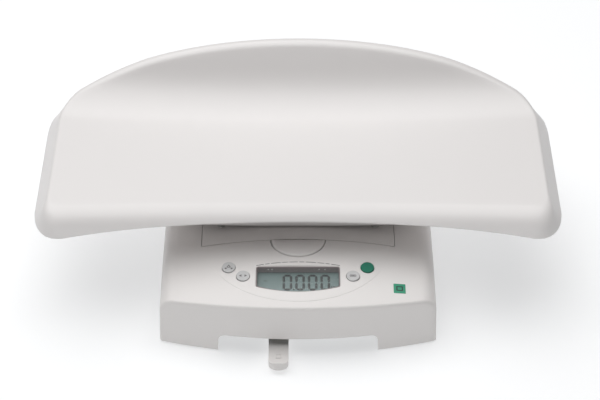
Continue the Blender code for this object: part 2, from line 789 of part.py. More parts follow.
def hull_path(columns, corner_steps, end_steps):
    """Right half of the hull's outline, from the front's middle to the rear's middle."""
    def front(x):
        return HULL_FRONT - HULL_FRONT_BOW * (x / RIM_SPAN) ** 2
    straight = HULL_HALF_LENGTH - HULL_CORNER
    points = [(straight * k / columns, front(straight * k / columns)) for k in range(columns)]
    for step in range(corner_steps):
        angle = math.pi / 2 * (step / corner_steps - 1)
        points.append((straight + HULL_CORNER * math.cos(angle),
                       front(straight) + HULL_CORNER * (1 + math.sin(angle))))
    low, high = front(straight) + HULL_CORNER, HULL_REAR - HULL_CORNER
    for step in range(end_steps):
        points.append((HULL_HALF_LENGTH, low + (high - low) * step / end_steps))
    for step in range(corner_steps):
        angle = math.pi / 2 * step / corner_steps
        points.append((straight + HULL_CORNER * math.cos(angle),
                       high + HULL_CORNER * math.sin(angle)))
    points += [(straight * (1 - k / columns), HULL_REAR) for k in range(columns + 1)]
    return points


def hull_rings(path, wall_steps, inner_steps):
    """Rings of the hull from its upper rim down the wall and over its curved bottom."""
    loop = path + [(-x, y) for x, y in reversed(path[1:-1])]
    middle = (HULL_FRONT + HULL_REAR) / 2
    straight = HULL_HALF_LENGTH - HULL_CORNER
    rings = []
    for k in range(wall_steps + 1):
        angle = math.pi / 2 * k / wall_steps
        ring = []
        for x, y in loop:
            inward = y + math.copysign(WALL, middle - y)
            rim = min(tray_underside(x, y), tray_underside(x, inward)) - HULL_RIM_GAP
            core = (max(-straight, min(straight, x)), middle)
            inset = 0.09 * (1 - math.cos(angle))
            px = x + (core[0] - x) * inset
            py = y + (core[1] - y) * inset
            floor = hull_bottom(px)
            ring.append((px, y_of(py), floor + (rim - floor) * (1 - math.sin(angle))))
        rings.append(ring)
    for k in range(1, inner_steps + 1):
        share = k / inner_steps
        ring = []
        for x, y in loop:
            core = (max(-straight, min(straight, x)), middle)
            start = 0.09 + 0.91 * share
            px = x + (core[0] - x) * start
            py = y + (core[1] - y) * start
            ring.append((px, y_of(py), hull_bottom(px)))
        rings.append(ring)
    return rings


def make_tray_hull():
    hull = surface_from_rings("tray_hull", hull_rings(hull_path(8, 4, 4), 5, 3), TRAY_WHITE)
    walls = solidify(hull, WALL).modifiers["wall"]
    walls.offset = 1.0
    return hull


def make_tray_pads():
    for corner, (x, y) in PAD_PLACES.items():
        inner_edge = abs(x) - PAD_RADIUS
        low = top_height(inner_edge, y) + GAP
        high = hull_bottom(inner_edge) - GAP
        cylinder("tray_pad_" + corner, (x, y_of(y), (low + high) / 2), PAD_RADIUS, high - low,
                 BLACK_RUBBER, sides=20)


def make_tray_tongue():
    """Bent steel blade: a flange on the hull and a blade down through the load plate."""
    blade = box("tray_tongue", (LEVER_X - 0.006, y_of(0.1600), 0.0560),
                (LEVER_X + 0.006, y_of(0.1620), HULL_BOTTOM - GAP), STEEL)
    flange = box("tongue_flange", (LEVER_X - 0.012, y_of(0.1600), HULL_BOTTOM - 0.0012),
                 (LEVER_X + 0.012, y_of(0.1780), HULL_BOTTOM - GAP), STEEL, helper=True)
    hook = box("tongue_hook", (LEVER_X - 0.006, y_of(0.1576), 0.0560),
               (LEVER_X + 0.006, y_of(0.1610), 0.0580), STEEL, helper=True)
    return fuse(blade, flange, hook)


# ---------------------------------------------------------------- load plate and bracket

def make_load_plate():
    """Crowned plate that fills the opening in the housing's top."""
    columns = 8
    front = [SEAM_HALF_WIDTH * (k / columns) for k in range(columns + 1)]
    half = [(x, seam_front(x)) for x in front]
    side_end = SEAM_REAR - SEAM_CORNER
    half += [(SEAM_HALF_WIDTH, SEAM_FRONT_CORNER + (side_end - SEAM_FRONT_CORNER) * k / 4)
             for k in range(1, 4)]
    for step in range(4):
        angle = math.pi / 2 * step / 3
        half.append((SEAM_HALF_WIDTH + SEAM_CORNER * (math.cos(angle) - 1),
                     side_end + SEAM_CORNER * math.sin(angle)))
    half += [(x, SEAM_REAR) for x in reversed(front[:-1])]
    loop = half + [(-x, y) for x, y in reversed(half[1:-1])]
    middle = (SEAM_FRONT_MIDDLE + SEAM_REAR) / 2
    core_half = front[-2]
    rings = []
    for share in (0.0, 0.5, 1.0):
        ring = []
        for x, y in loop:
            core = max(-core_half, min(core_half, x))
            x, y = x + (core - x) * share, y + (middle - y) * share
            ring.append((x, y_of(y), top_height(x, y)))
        rings.append(ring)
    plate = surface_from_rings("load_plate", rings, SHELL_WHITE)
    solidify(plate, PLATE_THICKNESS)
    slot = box("tongue_slot", (LEVER_X - 0.008, y_of(0.1550), 0.060),
               (LEVER_X + 0.008, y_of(0.1640), 0.080), SHELL_WHITE, helper=True)
    cut(plate, slot)
    for i, (x, y) in enumerate(POST_PLACES):
        cut(plate, cylinder(f"plate_screw_hole_{i}", (x, y_of(y), 0.070), 0.0024, 0.020, SHELL_WHITE,
                            sides=16, helper=True))
    return plate


def make_plate_grip():
    """Half-moon grip, its lug reaching back under the load plate."""
    outline = grip_outline(0.0)
    low = top_height(0, SEAM_FRONT_MIDDLE - GRIP_REACH) - 0.0035
    grip = plate_from_outlines("plate_grip", [outline], low, PLATE_LEVEL + 0.0060, SHELL_WHITE)
    x_span = GRIP_HALF_WIDTH + 0.010
    above = bmesh.new()
    rows = []
    for y in (0.060, 0.085, 0.100):
        level = PLATE_LEVEL - math.tan(SLOPE) * max(PANEL_LENGTH - y, 0.0) + 0.0006
        rows.append([above.verts.new((x, y_of(y), z)) for x in (-x_span, x_span)
                     for z in (level, 0.1000)])
    for near, far in zip(rows, rows[1:]):
        for i, j in ((0, 1), (1, 3), (3, 2), (2, 0)):
            above.faces.new((near[i], near[j], far[j], far[i]))
    above.faces.new([rows[0][i] for i in (0, 1, 3, 2)])
    above.faces.new([rows[-1][i] for i in (0, 1, 3, 2)])
    cut(grip, finish_mesh("above_grip", above, SHELL_WHITE, helper=True, smooth=False))
    lug_top = PLATE_LEVEL - PLATE_THICKNESS - GAP - crown_drop(0.016)
    lug = box("grip_lug", (-0.015, y_of(0.080), lug_top - 0.0030), (0.015, y_of(0.112), lug_top),
              SHELL_WHITE, helper=True)
    return fuse(grip, lug)


def make_spider():
    """H-shaped bracket between the cell and the load plate, with a post at each corner."""
    x, y = CELL_CENTRE
    low, high = 0.0540, 0.0600
    spider = box("spider_bracket", (-0.088, y_of(y - 0.010), low), (0.088, y_of(y + 0.010), high),
                 ALUMINIUM)
    for side in (-1, 1):
        beam = box(f"spider_beam_{side}", (side * 0.080 - 0.008, y_of(0.110), low),
                   (side * 0.080 + 0.008, y_of(0.272), high), ALUMINIUM, helper=True)
        fuse(spider, beam)
    for i, (px, py) in enumerate(POST_PLACES):
        top = top_height(abs(px) + 0.006, py) - PLATE_THICKNESS - GAP - 0.0002
        post = cylinder(f"spider_post_{i}", (px, y_of(py), (low + 0.001 + top) / 2), 0.0060,
                        top - low - 0.001, ALUMINIUM, sides=20, helper=True)
        bore = cylinder(f"post_bore_{i}", (px, y_of(py), 0.064), 0.0019, 0.016, ALUMINIUM, sides=12,
                        helper=True)
        fuse(spider, post)
        cut(spider, bore)
    bolt_x = CELL_SIZE[0] / 2
    for i, inset in enumerate((0.008, 0.023)):
        cut(spider, cylinder(f"spider_bolt_hole_{i}", (bolt_x - inset, y_of(y), 0.057), 0.0027, 0.020,
                             ALUMINIUM, sides=16, helper=True))
    return spider


def make_plate_screws():
    for i, (x, y) in enumerate(POST_PLACES):
        top = top_height(abs(x) + 0.0045, y) + 0.0004
        profile = [(0.0, 0.0016), (0.0035, 0.0016), (0.0042, 0.0008), (0.0042, 0.0), (0.0016, 0.0),
                   (0.0016, -0.0080), (0.0, -0.0080)]
        turned(f"plate_screw_{i + 1}", profile, (x, y_of(y), top + crown_drop(abs(x) + 0.0045)
                                                - crown_drop(abs(x) - 0.0045)), STEEL, steps=16)


# ---------------------------------------------------------------- weighing works

def make_load_cell():
    """Single-point cell: a block milled with two joined holes that leave four thin webs."""
    x, y = CELL_CENTRE
    low = 0.0274
    length, width, height = CELL_SIZE
    cell = box("load_cell", (x - length / 2, y_of(y) - width / 2, low),
               (x + length / 2, y_of(y) + width / 2, low + height), ALUMINIUM, 0.0006)
    middle = low + height / 2
    for side in (-1, 1):
        cut(cell, cylinder(f"cell_bore_{side}", (x + side * 0.014, y_of(y), middle), 0.0090, 0.050,
                           ALUMINIUM, axis="Y", sides=28, helper=True))
    cut(cell, box("cell_slot", (x - 0.014, y_of(y) - 0.025, middle - 0.004),
                  (x + 0.014, y_of(y) + 0.025, middle + 0.004), ALUMINIUM, helper=True))
    for i, inset in enumerate((0.008, 0.023)):
        for side in (-1, 1):
            place = (side * (length / 2 - inset), y_of(y), middle)
            cut(cell, cylinder(f"cell_thread_{i}_{side}", place, 0.0024, 0.040, ALUMINIUM,
                               sides=12, helper=True))
    return cell


def make_cell_mounting():
    """Lower bracket, the two spacers and the four bolts of the cell."""
    y = CELL_CENTRE[1]
    end = CELL_SIZE[0] / 2
    bracket = box("lower_bracket", (-end - 0.0005, y_of(y - 0.020), 0.0188),
                  (0.030, y_of(y + 0.020), 0.0228), STEEL, 0.0006)
    lower = box("lower_spacer", (-end, y_of(y - 0.015), 0.0231),
                (-end + 0.031, y_of(y + 0.015), 0.0271), STEEL, 0.0003)
    upper = box("upper_spacer", (end - 0.031, y_of(y - 0.015), 0.0497),
                (end, y_of(y + 0.015), 0.0537), STEEL, 0.0003)
    for i, inset in enumerate((0.008, 0.023)):
        for owner, side, height in ((bracket, -1, 0.020), (lower, -1, 0.025), (upper, 1, 0.0515)):
            place = (side * (end - inset), y_of(y), height)
            cut(owner, cylinder(f"{owner.name}_hole_{i}", place, 0.0027, 0.014, STEEL, sides=16,
                                helper=True))
        cylinder(f"cell_bolt_lower_{i + 1}", (-end + inset, y_of(y), 0.0302), 0.0021, 0.0214,
                 STEEL, sides=14)
        high = cylinder(f"cell_bolt_upper_{i + 1}", (end - inset, y_of(y), 0.0505), 0.0021, 0.0200,
                        STEEL, sides=14)
        head = cylinder(f"bolt_head_{i}", (end - inset, y_of(y), 0.0623), 0.0042, 0.0040, STEEL,
                        sides=6, helper=True)
        fuse(high, head)


# ---------------------------------------------------------------- bottom plate and feet

def bottom_plate_outline():
    """Edge of the bottom plate: just behind the front wall at the corners, further in at the
    notch, and close to the side and rear walls."""
    half = BASE_HALF_WIDTH - WALL - 0.0022
    recess = NOTCH_HALF_WIDTH + 0.0060
    points = []
    for k in range(9):
        x = -recess + 2 * recess * k / 8
        points.append((x, y_of(front_bow(x) + 0.0140)))
    outer = [(recess, front_bow(recess) + 0.0045)]
    outer += [(x, front_bow(x) + 0.0048) for x in (0.105, 0.120)]
    outer += [(half - 0.005, front_bow(half) + 0.0055), (half, front_bow(half) + 0.0110)]
    outer += [(half - 0.001, BASE_DEPTH - REAR_CORNER - 0.002), (half - 0.006, BASE_DEPTH - 0.0100),
              (half - REAR_CORNER, BASE_DEPTH - 0.0050)]
    points += [(x, y_of(y)) for x, y in outer]
    points += [(-x, y_of(y)) for x, y in reversed(outer)]
    return points


def make_bottom_plate():
    low, high = BOTTOM_PLATE
    x0, y0, x1, y1 = BATTERY_BAY
    bay = rounded_box_outline((x0 + 0.001, y_of(y0 + 0.001)), (x1 - 0.001, y_of(y1 - 0.001)),
                              0.0010, steps=2)
    slot = rounded_box_outline((LEVER_X - 0.0065, y_of(0.1330)), (LEVER_X + 0.0065, y_of(0.1580)),
                               0.0010, steps=2)
    plate = plate_from_outlines("bottom_plate", [bottom_plate_outline(), bay, slot], low, high,
                                INNER_GREY)
    for name, (x, y) in FOOT_PLACES.items():
        boss = cylinder(name + "_nut", (x, y_of(y), 0.0220), 0.0065, 0.0080, INNER_GREY, sides=16,
                        helper=True)
        bore = cylinder(name + "_thread", (x, y_of(y), 0.0210), 0.0033, 0.0200, INNER_GREY,
                        sides=20, helper=True)
        fuse(plate, boss)
        cut(plate, bore)
    for i, (x, y) in enumerate(BOSS_PLACES):
        cut(plate, cylinder(f"screw_hole_{i}", (x, y_of(y), 0.017), 0.0021, 0.010, INNER_GREY, sides=16,
                            helper=True))
    return plate


def make_housing_screws():
    for i, (x, y) in enumerate(BOSS_PLACES):
        profile = [(0.0, 0.0320), (0.0016, 0.0320), (0.0016, BOTTOM_PLATE[0] - GAP),
                   (0.0040, BOTTOM_PLATE[0] - GAP), (0.0036, BOTTOM_PLATE[0] - 0.0024),
                   (0.0, BOTTOM_PLATE[0] - 0.0024)]
        turned(f"housing_screw_{i + 1}", profile, (x, y_of(y), 0.0), STEEL, steps=16)


def make_feet():
    """Levelling feet: a rubber pad that does not turn, and a stud with a thumb wheel."""
    for corner, (x, y) in FOOT_PLACES.items():
        pad = [(0.0, 0.0021), (0.0105, 0.0021), (0.0120, 0.0009), (0.0120, -0.0015),
               (0.0110, -FOOT_REACH), (0.0, -FOOT_REACH)]
        turned("foot_pad_" + corner, pad, (x, y_of(y), 0.0), BLACK_RUBBER, steps=20)
        stud = [(0.0, 0.0290), (0.0024, 0.0290), (0.0030, 0.0284), (0.0030, 0.0087),
                (0.0105, 0.0087), (0.0112, 0.0079), (0.0112, 0.0059), (0.0105, 0.0051),
                (0.0045, 0.0051), (0.0045, 0.0024), (0.0, 0.0024)]
        turned("foot_stud_" + corner, stud, (x, y_of(y), 0.0), STEEL, steps=18)


# ---------------------------------------------------------------- power

def make_battery_box():
    """Box with an open underside that holds four round cells side by side."""
    x0, y0, x1, y1 = BATTERY_BAY
    low, high = BOTTOM_PLATE[1] + GAP, 0.0380
    case = box("battery_box", (x0, y_of(y0), low), (x1, y_of(y1), high), INNER_GREY)
    cut(case, box("battery_bay", (x0 + 0.0012, y_of(y0 + 0.0012), low - 0.005),
                  (x1 - 0.0012, y_of(y1 - 0.0012), high - 0.0012), INNER_GREY, helper=True))
    pitch = (x1 - x0 - 0.0024) / 4
    for i in range(4):
        x = x0 + 0.0012 + pitch * (i + 0.5)
        profile = [(0.0, 0.0505), (0.0028, 0.0505), (0.0028, 0.0492), (0.0071, 0.0490),
                   (0.0071, 0.0002), (0.0064, 0.0), (0.0, 0.0)]
        cell = turned(f"battery_{i + 1}", profile, (x, y_of(y0 + 0.0037), 0.0272), CELL_SLEEVE,
                      steps=14)
        cell.rotation_euler = (-math.pi / 2, 0.0, 0.0)
    for name, near in (("contact_strip_front", y0 + 0.0015), ("contact_strip_rear", y1 - 0.0019)):
        box(name, (x0 + 0.0030, y_of(near), low + 0.0020),
            (x1 - 0.0030, y_of(near + 0.0004), high - 0.0030), STEEL)


def make_battery_door():
    x0, y0, x1, y1 = BATTERY_BAY
    door = box("battery_door", (x0 - 0.001, y_of(y0 - 0.002), 0.0134),
               (x1 + 0.003, y_of(y1 + 0.002), BOTTOM_PLATE[0] - GAP), SHELL_WHITE, 0.0004)
    for i in range(3):
        x = x0 + 0.010 + 0.004 * i
        cut(door, box(f"door_grip_{i}", (x, y_of(y0 + 0.018), 0.0125),
                      (x + 0.0018, y_of(y1 - 0.018), 0.0140), SHELL_WHITE, helper=True))
    return door


def make_power_socket():
    """Small low-voltage inlet behind the rear wall, its mouth in the wall's hole."""
    y = BASE_DEPTH - WALL - GAP - 0.0004
    body = box("power_socket", (SOCKET_X - 0.007, y_of(y - 0.013), 0.0240),
               (SOCKET_X + 0.007, y_of(y), 0.0360), BLACK_RUBBER)
    nose = cylinder("socket_nose", (SOCKET_X, y_of(y + 0.0004), 0.030), 0.0045, 0.0050, BLACK_RUBBER,
                    axis="Y", sides=20, helper=True)
    bore = cylinder("socket_bore", (SOCKET_X, y_of(y - 0.0010), 0.030), 0.0028, 0.0200, BLACK_RUBBER,
                    axis="Y", sides=20, helper=True)
    pin = cylinder("socket_pin", (SOCKET_X, y_of(y - 0.0060), 0.030), 0.0009, 0.0120, BLACK_RUBBER,
                   axis="Y", sides=10, helper=True)
    back = box("socket_back", (SOCKET_X - 0.006, y_of(y - 0.0128), 0.0250),
               (SOCKET_X + 0.006, y_of(y - 0.0110), 0.0350), BLACK_RUBBER, helper=True)
    return fuse(cut(fuse(body, nose), bore), back, pin)


def make_level_vial():
    x, y = VIAL_PLACE
    top = top_height(x, y)
    profile = [(0.0, 0.0), (0.0052, 0.0), (0.0062, -0.0006), (0.0062, -0.0070), (0.0, -0.0070)]
    return turned("level_vial", profile, (x, y_of(y), top), CLEAR, steps=24)


# ---------------------------------------------------------------- tray release

def make_release_lever():
    """Flat bar under the bottom plate, its front end a thick tab with a round tip."""
    half = LEVER_HALF_WIDTH
    tab = []
    for step in range(9):
        angle = math.pi + math.pi * step / 8
        tip = LEVER_TIP + 0.0080 + 0.0080 * math.sin(angle)
        tab.append((LEVER_X + half * math.cos(angle), y_of(tip)))
    tab += [(LEVER_X + half, y_of(0.0200)), (LEVER_X - half, y_of(0.0200))]
    lever = plate_from_outlines("release_lever", [tab], 0.0030, 0.0110, SHELL_WHITE)
    bar = box("lever_bar", (LEVER_X - 0.0070, y_of(0.0150), 0.0070),
              (LEVER_X + 0.0070, y_of(0.1600), 0.0100), SHELL_WHITE, helper=True)
    lug = box("lever_lug", (LEVER_X - 0.0030, y_of(0.0760), 0.0085),
              (LEVER_X + 0.0030, y_of(0.0795), 0.0154), SHELL_WHITE, helper=True)
    slant = box("tab_slant", (-0.030, -0.015, 0.0), (0.030, 0.0, 0.015), SHELL_WHITE, helper=True)
    slant.matrix_world = (Matrix.Translation((LEVER_X, y_of(LEVER_TIP + 0.0075), 0.0110))
                          @ Matrix.Rotation(math.radians(38), 4, "X")
                          @ Matrix.Translation((0.0, -0.0075, 0.0075)))
    cut(lever, slant)
    mark = box("thumb_mark", (LEVER_X - 0.0030, y_of(LEVER_TIP + 0.0095), 0.0105),
               (LEVER_X + 0.0030, y_of(LEVER_TIP + 0.0155), 0.0114), SHELL_WHITE, helper=True)
    hollow = box("thumb_mark_hollow", (LEVER_X - 0.0020, y_of(LEVER_TIP + 0.0105), 0.0110),
                 (LEVER_X + 0.0020, y_of(LEVER_TIP + 0.0145), 0.0120), SHELL_WHITE, helper=True)
    fuse(lever, bar, lug, mark)
    return cut(lever, hollow)


def make_lever_works():
    """Guide, return spring and catch of the release lever."""
    guide = box("lever_guide", (LEVER_X - 0.0110, y_of(0.0950), 0.0050),
                (LEVER_X + 0.0110, y_of(0.1250), BOTTOM_PLATE[0] - GAP), INNER_GREY)
    cut(guide, box("guide_channel", (LEVER_X - 0.0074, y_of(0.0900), 0.0066),
                   (LEVER_X + 0.0074, y_of(0.1300), 0.0104), INNER_GREY, helper=True))
    foot = box("lever_catch", (LEVER_X - 0.0050, y_of(0.1420), 0.0103),
               (LEVER_X + 0.0050, y_of(0.1570), 0.0123), STEEL)
    post = box("catch_post", (LEVER_X - 0.0050, y_of(0.1500), 0.0110),
               (LEVER_X + 0.0050, y_of(0.1525), 0.0640), STEEL, helper=True)
    nose = box("catch_nose", (LEVER_X - 0.0050, y_of(0.1510), 0.0600),
               (LEVER_X + 0.0050, y_of(0.1570), 0.0640), STEEL, helper=True)
    fuse(foot, post, nose)
    curve = bpy.data.curves.new("lever_spring", "CURVE")
    curve.dimensions = "3D"
    curve.bevel_depth = 0.00035
    curve.bevel_resolution = 1
    curve.use_fill_caps = True
    turns, steps = 6, 7
    count = turns * steps
    spring_ends, radius, level = (0.0803, 0.0944), 0.0016, 0.0130
    spline = curve.splines.new("POLY")
    spline.points.add(count)
    for k, point in enumerate(spline.points):
        angle = 2 * math.pi * k / steps
        along = spring_ends[0] + (spring_ends[1] - spring_ends[0]) * k / count
        point.co = (LEVER_X + radius * math.cos(angle), y_of(along),
                    level + radius * math.sin(angle), 1.0)
    curve.materials.append(STEEL)
    PARTS.objects.link(bpy.data.objects.new("lever_spring", curve))


def lift_onto_feet():
    """Raises the whole object, so that its foot pads stand on the table."""
    for obj in bpy.data.objects:
        if obj.parent is None:
            obj.location.z += FOOT_REACH


PANEL = make_panel_frame()
make_base_housing()
make_lcd_surround()
make_lcd_window()
make_lcd_module()
make_display_board()
make_key_mat()
make_keys()
make_approval_label()
make_tray_shell()
make_tray_hull()
make_tray_pads()
make_tray_tongue()
make_load_plate()
make_plate_grip()
make_spider()
make_plate_screws()
make_load_cell()
make_cell_mounting()
make_bottom_plate()
make_housing_screws()
make_feet()
make_battery_box()
make_battery_door()
make_power_socket()
make_level_vial()
make_release_lever()
make_lever_works()
lift_onto_feet()
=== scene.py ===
"""Looks of a table-top weighing scale with a curved lift-off tray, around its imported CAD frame.

Metres, +Z up, +X to the right of someone who reads the display, +Y away from them.
Heights are above the table. Depths on the base are distances behind its front wall, as in the CAD.
"""

import json
import math

import bmesh
import bpy
from mathutils import Matrix, Vector


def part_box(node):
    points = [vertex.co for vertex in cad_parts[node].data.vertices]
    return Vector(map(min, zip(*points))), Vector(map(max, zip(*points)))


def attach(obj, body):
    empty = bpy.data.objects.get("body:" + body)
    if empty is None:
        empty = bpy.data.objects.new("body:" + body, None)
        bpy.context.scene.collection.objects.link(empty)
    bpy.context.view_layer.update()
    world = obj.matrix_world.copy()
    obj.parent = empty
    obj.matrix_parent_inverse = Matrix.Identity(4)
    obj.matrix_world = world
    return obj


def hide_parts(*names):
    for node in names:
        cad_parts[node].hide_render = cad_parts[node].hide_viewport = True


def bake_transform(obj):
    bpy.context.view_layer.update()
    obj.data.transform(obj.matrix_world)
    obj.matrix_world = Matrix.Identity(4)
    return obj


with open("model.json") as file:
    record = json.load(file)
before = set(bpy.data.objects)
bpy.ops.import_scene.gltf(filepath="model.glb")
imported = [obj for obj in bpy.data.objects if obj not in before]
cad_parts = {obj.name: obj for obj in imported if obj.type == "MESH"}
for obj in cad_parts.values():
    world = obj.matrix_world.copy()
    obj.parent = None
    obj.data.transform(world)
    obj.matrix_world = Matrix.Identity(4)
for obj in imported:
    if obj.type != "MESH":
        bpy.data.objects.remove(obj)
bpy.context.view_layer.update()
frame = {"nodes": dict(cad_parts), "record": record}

GAP = 0.0003
WALL = 0.0025
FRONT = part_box("base_housing")[0].y

# Base housing
BASE_HALF_WIDTH = 0.1415
BASE_DEPTH = 0.3000
BASE_BOW = 0.0205
BASE_BOTTOM = 0.0025
FRONT_DRAFT = 0.0016
SIDE_TOP_HALF_WIDTH = 0.1402
SHOULDER_RADIUS = 0.0180
PLATE_LEVEL = 0.0750
PANEL_FRONT_LEVEL = 0.0640
PANEL_LENGTH = 0.0850
PANEL_BLEND = 0.0150
CROWN = 0.0065
CROWN_SPAN = 0.1160
SLOPE = math.atan2(PLATE_LEVEL - PANEL_FRONT_LEVEL, PANEL_LENGTH - FRONT_DRAFT)
FRONT_CORNER = 0.0030
REAR_CORNER = 0.0180
TOP_EDGE = 0.0030
NOTCH_HALF_WIDTH = 0.0805
NOTCH_TOP = 0.0230
NOTCH_CORNER = 0.0070
SOCKET_LEVEL = 0.0325
SOCKET_HOLE_RADIUS = 0.0050
VIAL_HOLE_RADIUS = 0.0073
REAR_CORNERS_FROM = 0.102  # from here to the back, the sides turn into the rear corners

# Raised field round the display: an ellipse that fades into the panel towards the plate
FIELD_MIDDLE = 0.0960
FIELD_HALF = (0.0970, 0.0850)
FIELD_RISE = 0.0003
FIELD_FADE = (0.0350, 0.0720)

# Load plate and its grip
SEAM_FRONT_MIDDLE = 0.0947
SEAM_FRONT_CORNER = 0.0890
SEAM_HALF_WIDTH = 0.0993
SEAM_REAR = 0.2850
SEAM_CORNER = 0.0050
SEAM_GAP = 0.0008
FINE_SEAM = 0.0005  # gap round the load plate, apart from its grip
PLATE_THICKNESS = 0.0030
GRIP_HALF_WIDTH = 0.0278
GRIP_REACH = 0.0235
TONGUE_SLOT = (0.1550, 0.1640)

# Display and keys, in the sloping panel's own axes: x, v up the slope, w out of it
WINDOW_HALF_WIDTH = 0.0415
WINDOW_TOP = 0.0551
WINDOW_CORNER_BOTTOM = 0.0306
WINDOW_MIDDLE_BOTTOM = 0.0236
TUNNEL_WALL = 0.0008
LCD_DEPTH = 0.0090
KEY_RADIUS = 0.0067
KEY_PROUD = 0.0014
KEY_PLACES = {
    "key_outer_left": (-0.0705, 0.0559),
    "key_inner_left": (-0.0557, 0.0438),
    "key_inner_right": (0.0557, 0.0438),
    "key_outer_right": (0.0705, 0.0559),
}
PANEL = (Matrix.Translation((0.0, FRONT + FRONT_DRAFT, PANEL_FRONT_LEVEL))
         @ Matrix.Rotation(SLOPE, 4, "X"))

# Release lever and feet
TAB_TOP = 0.0135
STUD_TOP = 0.0315
THREAD_TURNS = 18
THREAD_PITCH = 0.0010

# Tray: the section through its middle, then the rim
TRAY_LEVEL = 0.1261
COVE_START = 0.2213
COVE_RADIUS = 0.0646
COVE_ANGLE = math.radians(60)
TROUGH = 0.0085
TROUGH_SPAN = 0.2546
RIM_BACK = 0.0906
RIM_ELLIPSE = (0.2938, 0.1440)
RIM_FRONT = -0.1273
RIM_FRONT_BOW = 0.01175
RIM_SPAN = 0.2302
RIM_END = 0.2512
RIM_FRONT_CORNER = 0.01175
RIM_BACK_CORNER = 0.0441
TRAY_WALL = 0.0030
# (radius, angle, straight length) of the turned-down rim
FRONT_TURN = (0.0255, math.radians(47), 0.0012)
FRONT_CORNER_MORE = (math.radians(20), 0.0049)
END_TURN = (0.0039, math.radians(60), 0.0230)
BACK_TURN = (0.0093, math.radians(150), 0.0029)
SKELETON_HALF = 0.1665
SKELETON_S = -0.0343

# Hull under the tray
HULL_HALF_LENGTH = 0.1560
HULL_FRONT = 0.1072
HULL_FRONT_BOW = 0.0190
HULL_REAR = 0.2720
HULL_CORNER = 0.0300
HULL_BOTTOM = 0.0765
HULL_RISE_SPAN = 0.1700
HULL_RISE = 0.0240
HULL_RIM_GAP = 0.0016


# ---------------------------------------------------------------- materials

def look(name, colour, roughness, metallic=0.0, tint=0.03, tint_scale=9.0, grain_scale=2200.0,
         grain_depth=0.00001, stretch=(1.0, 1.0, 1.0), rough_spread=0.06, **more):
    """A Principled material with cloudy colour, uneven roughness and a fine surface grain.

    Scales are in waves per metre, grain_depth in metres."""
    made = bpy.data.materials.new(name)
    made.use_nodes = True
    tree = made.node_tree
    shader = tree.nodes["Principled BSDF"]
    shader.inputs["Metallic"].default_value = metallic
    for socket, value in more.items():
        shader.inputs[socket.replace("_", " ")].default_value = value
    where = tree.nodes.new("ShaderNodeTexCoord")
    scaled = tree.nodes.new("ShaderNodeMapping")
    scaled.inputs["Scale"].default_value = stretch
    tree.links.new(where.outputs["Object"], scaled.inputs["Vector"])

    def noise(scale, detail):
        node = tree.nodes.new("ShaderNodeTexNoise")
        node.inputs["Scale"].default_value = scale
        node.inputs["Detail"].default_value = detail
        tree.links.new(scaled.outputs["Vector"], node.inputs["Vector"])
        return node.outputs["Fac"]

    cloud = tree.nodes.new("ShaderNodeValToRGB")
    cloud.color_ramp.elements[0].position = 0.25
    cloud.color_ramp.elements[0].color = (*(c * (1 - tint) for c in colour), 1.0)
    cloud.color_ramp.elements[1].position = 0.75
    cloud.color_ramp.elements[1].color = (*(min(1.0, c * (1 + tint)) for c in colour), 1.0)
    tree.links.new(noise(tint_scale, 3.0), cloud.inputs["Fac"])
    tree.links.new(cloud.outputs["Color"], shader.inputs["Base Color"])
    grain = noise(grain_scale, 2.0)
    spread = tree.nodes.new("ShaderNodeMapRange")
    spread.inputs["To Min"].default_value = max(0.02, roughness - rough_spread)
    spread.inputs["To Max"].default_value = roughness + rough_spread
    tree.links.new(noise(tint_scale * 14, 3.0), spread.inputs["Value"])
    tree.links.new(spread.outputs["Result"], shader.inputs["Roughness"])
    bump = tree.nodes.new("ShaderNodeBump")
    bump.inputs["Strength"].default_value = 1.0
    bump.inputs["Distance"].default_value = grain_depth
    tree.links.new(grain, bump.inputs["Height"])
    tree.links.new(bump.outputs["Normal"], shader.inputs["Normal"])
    return made


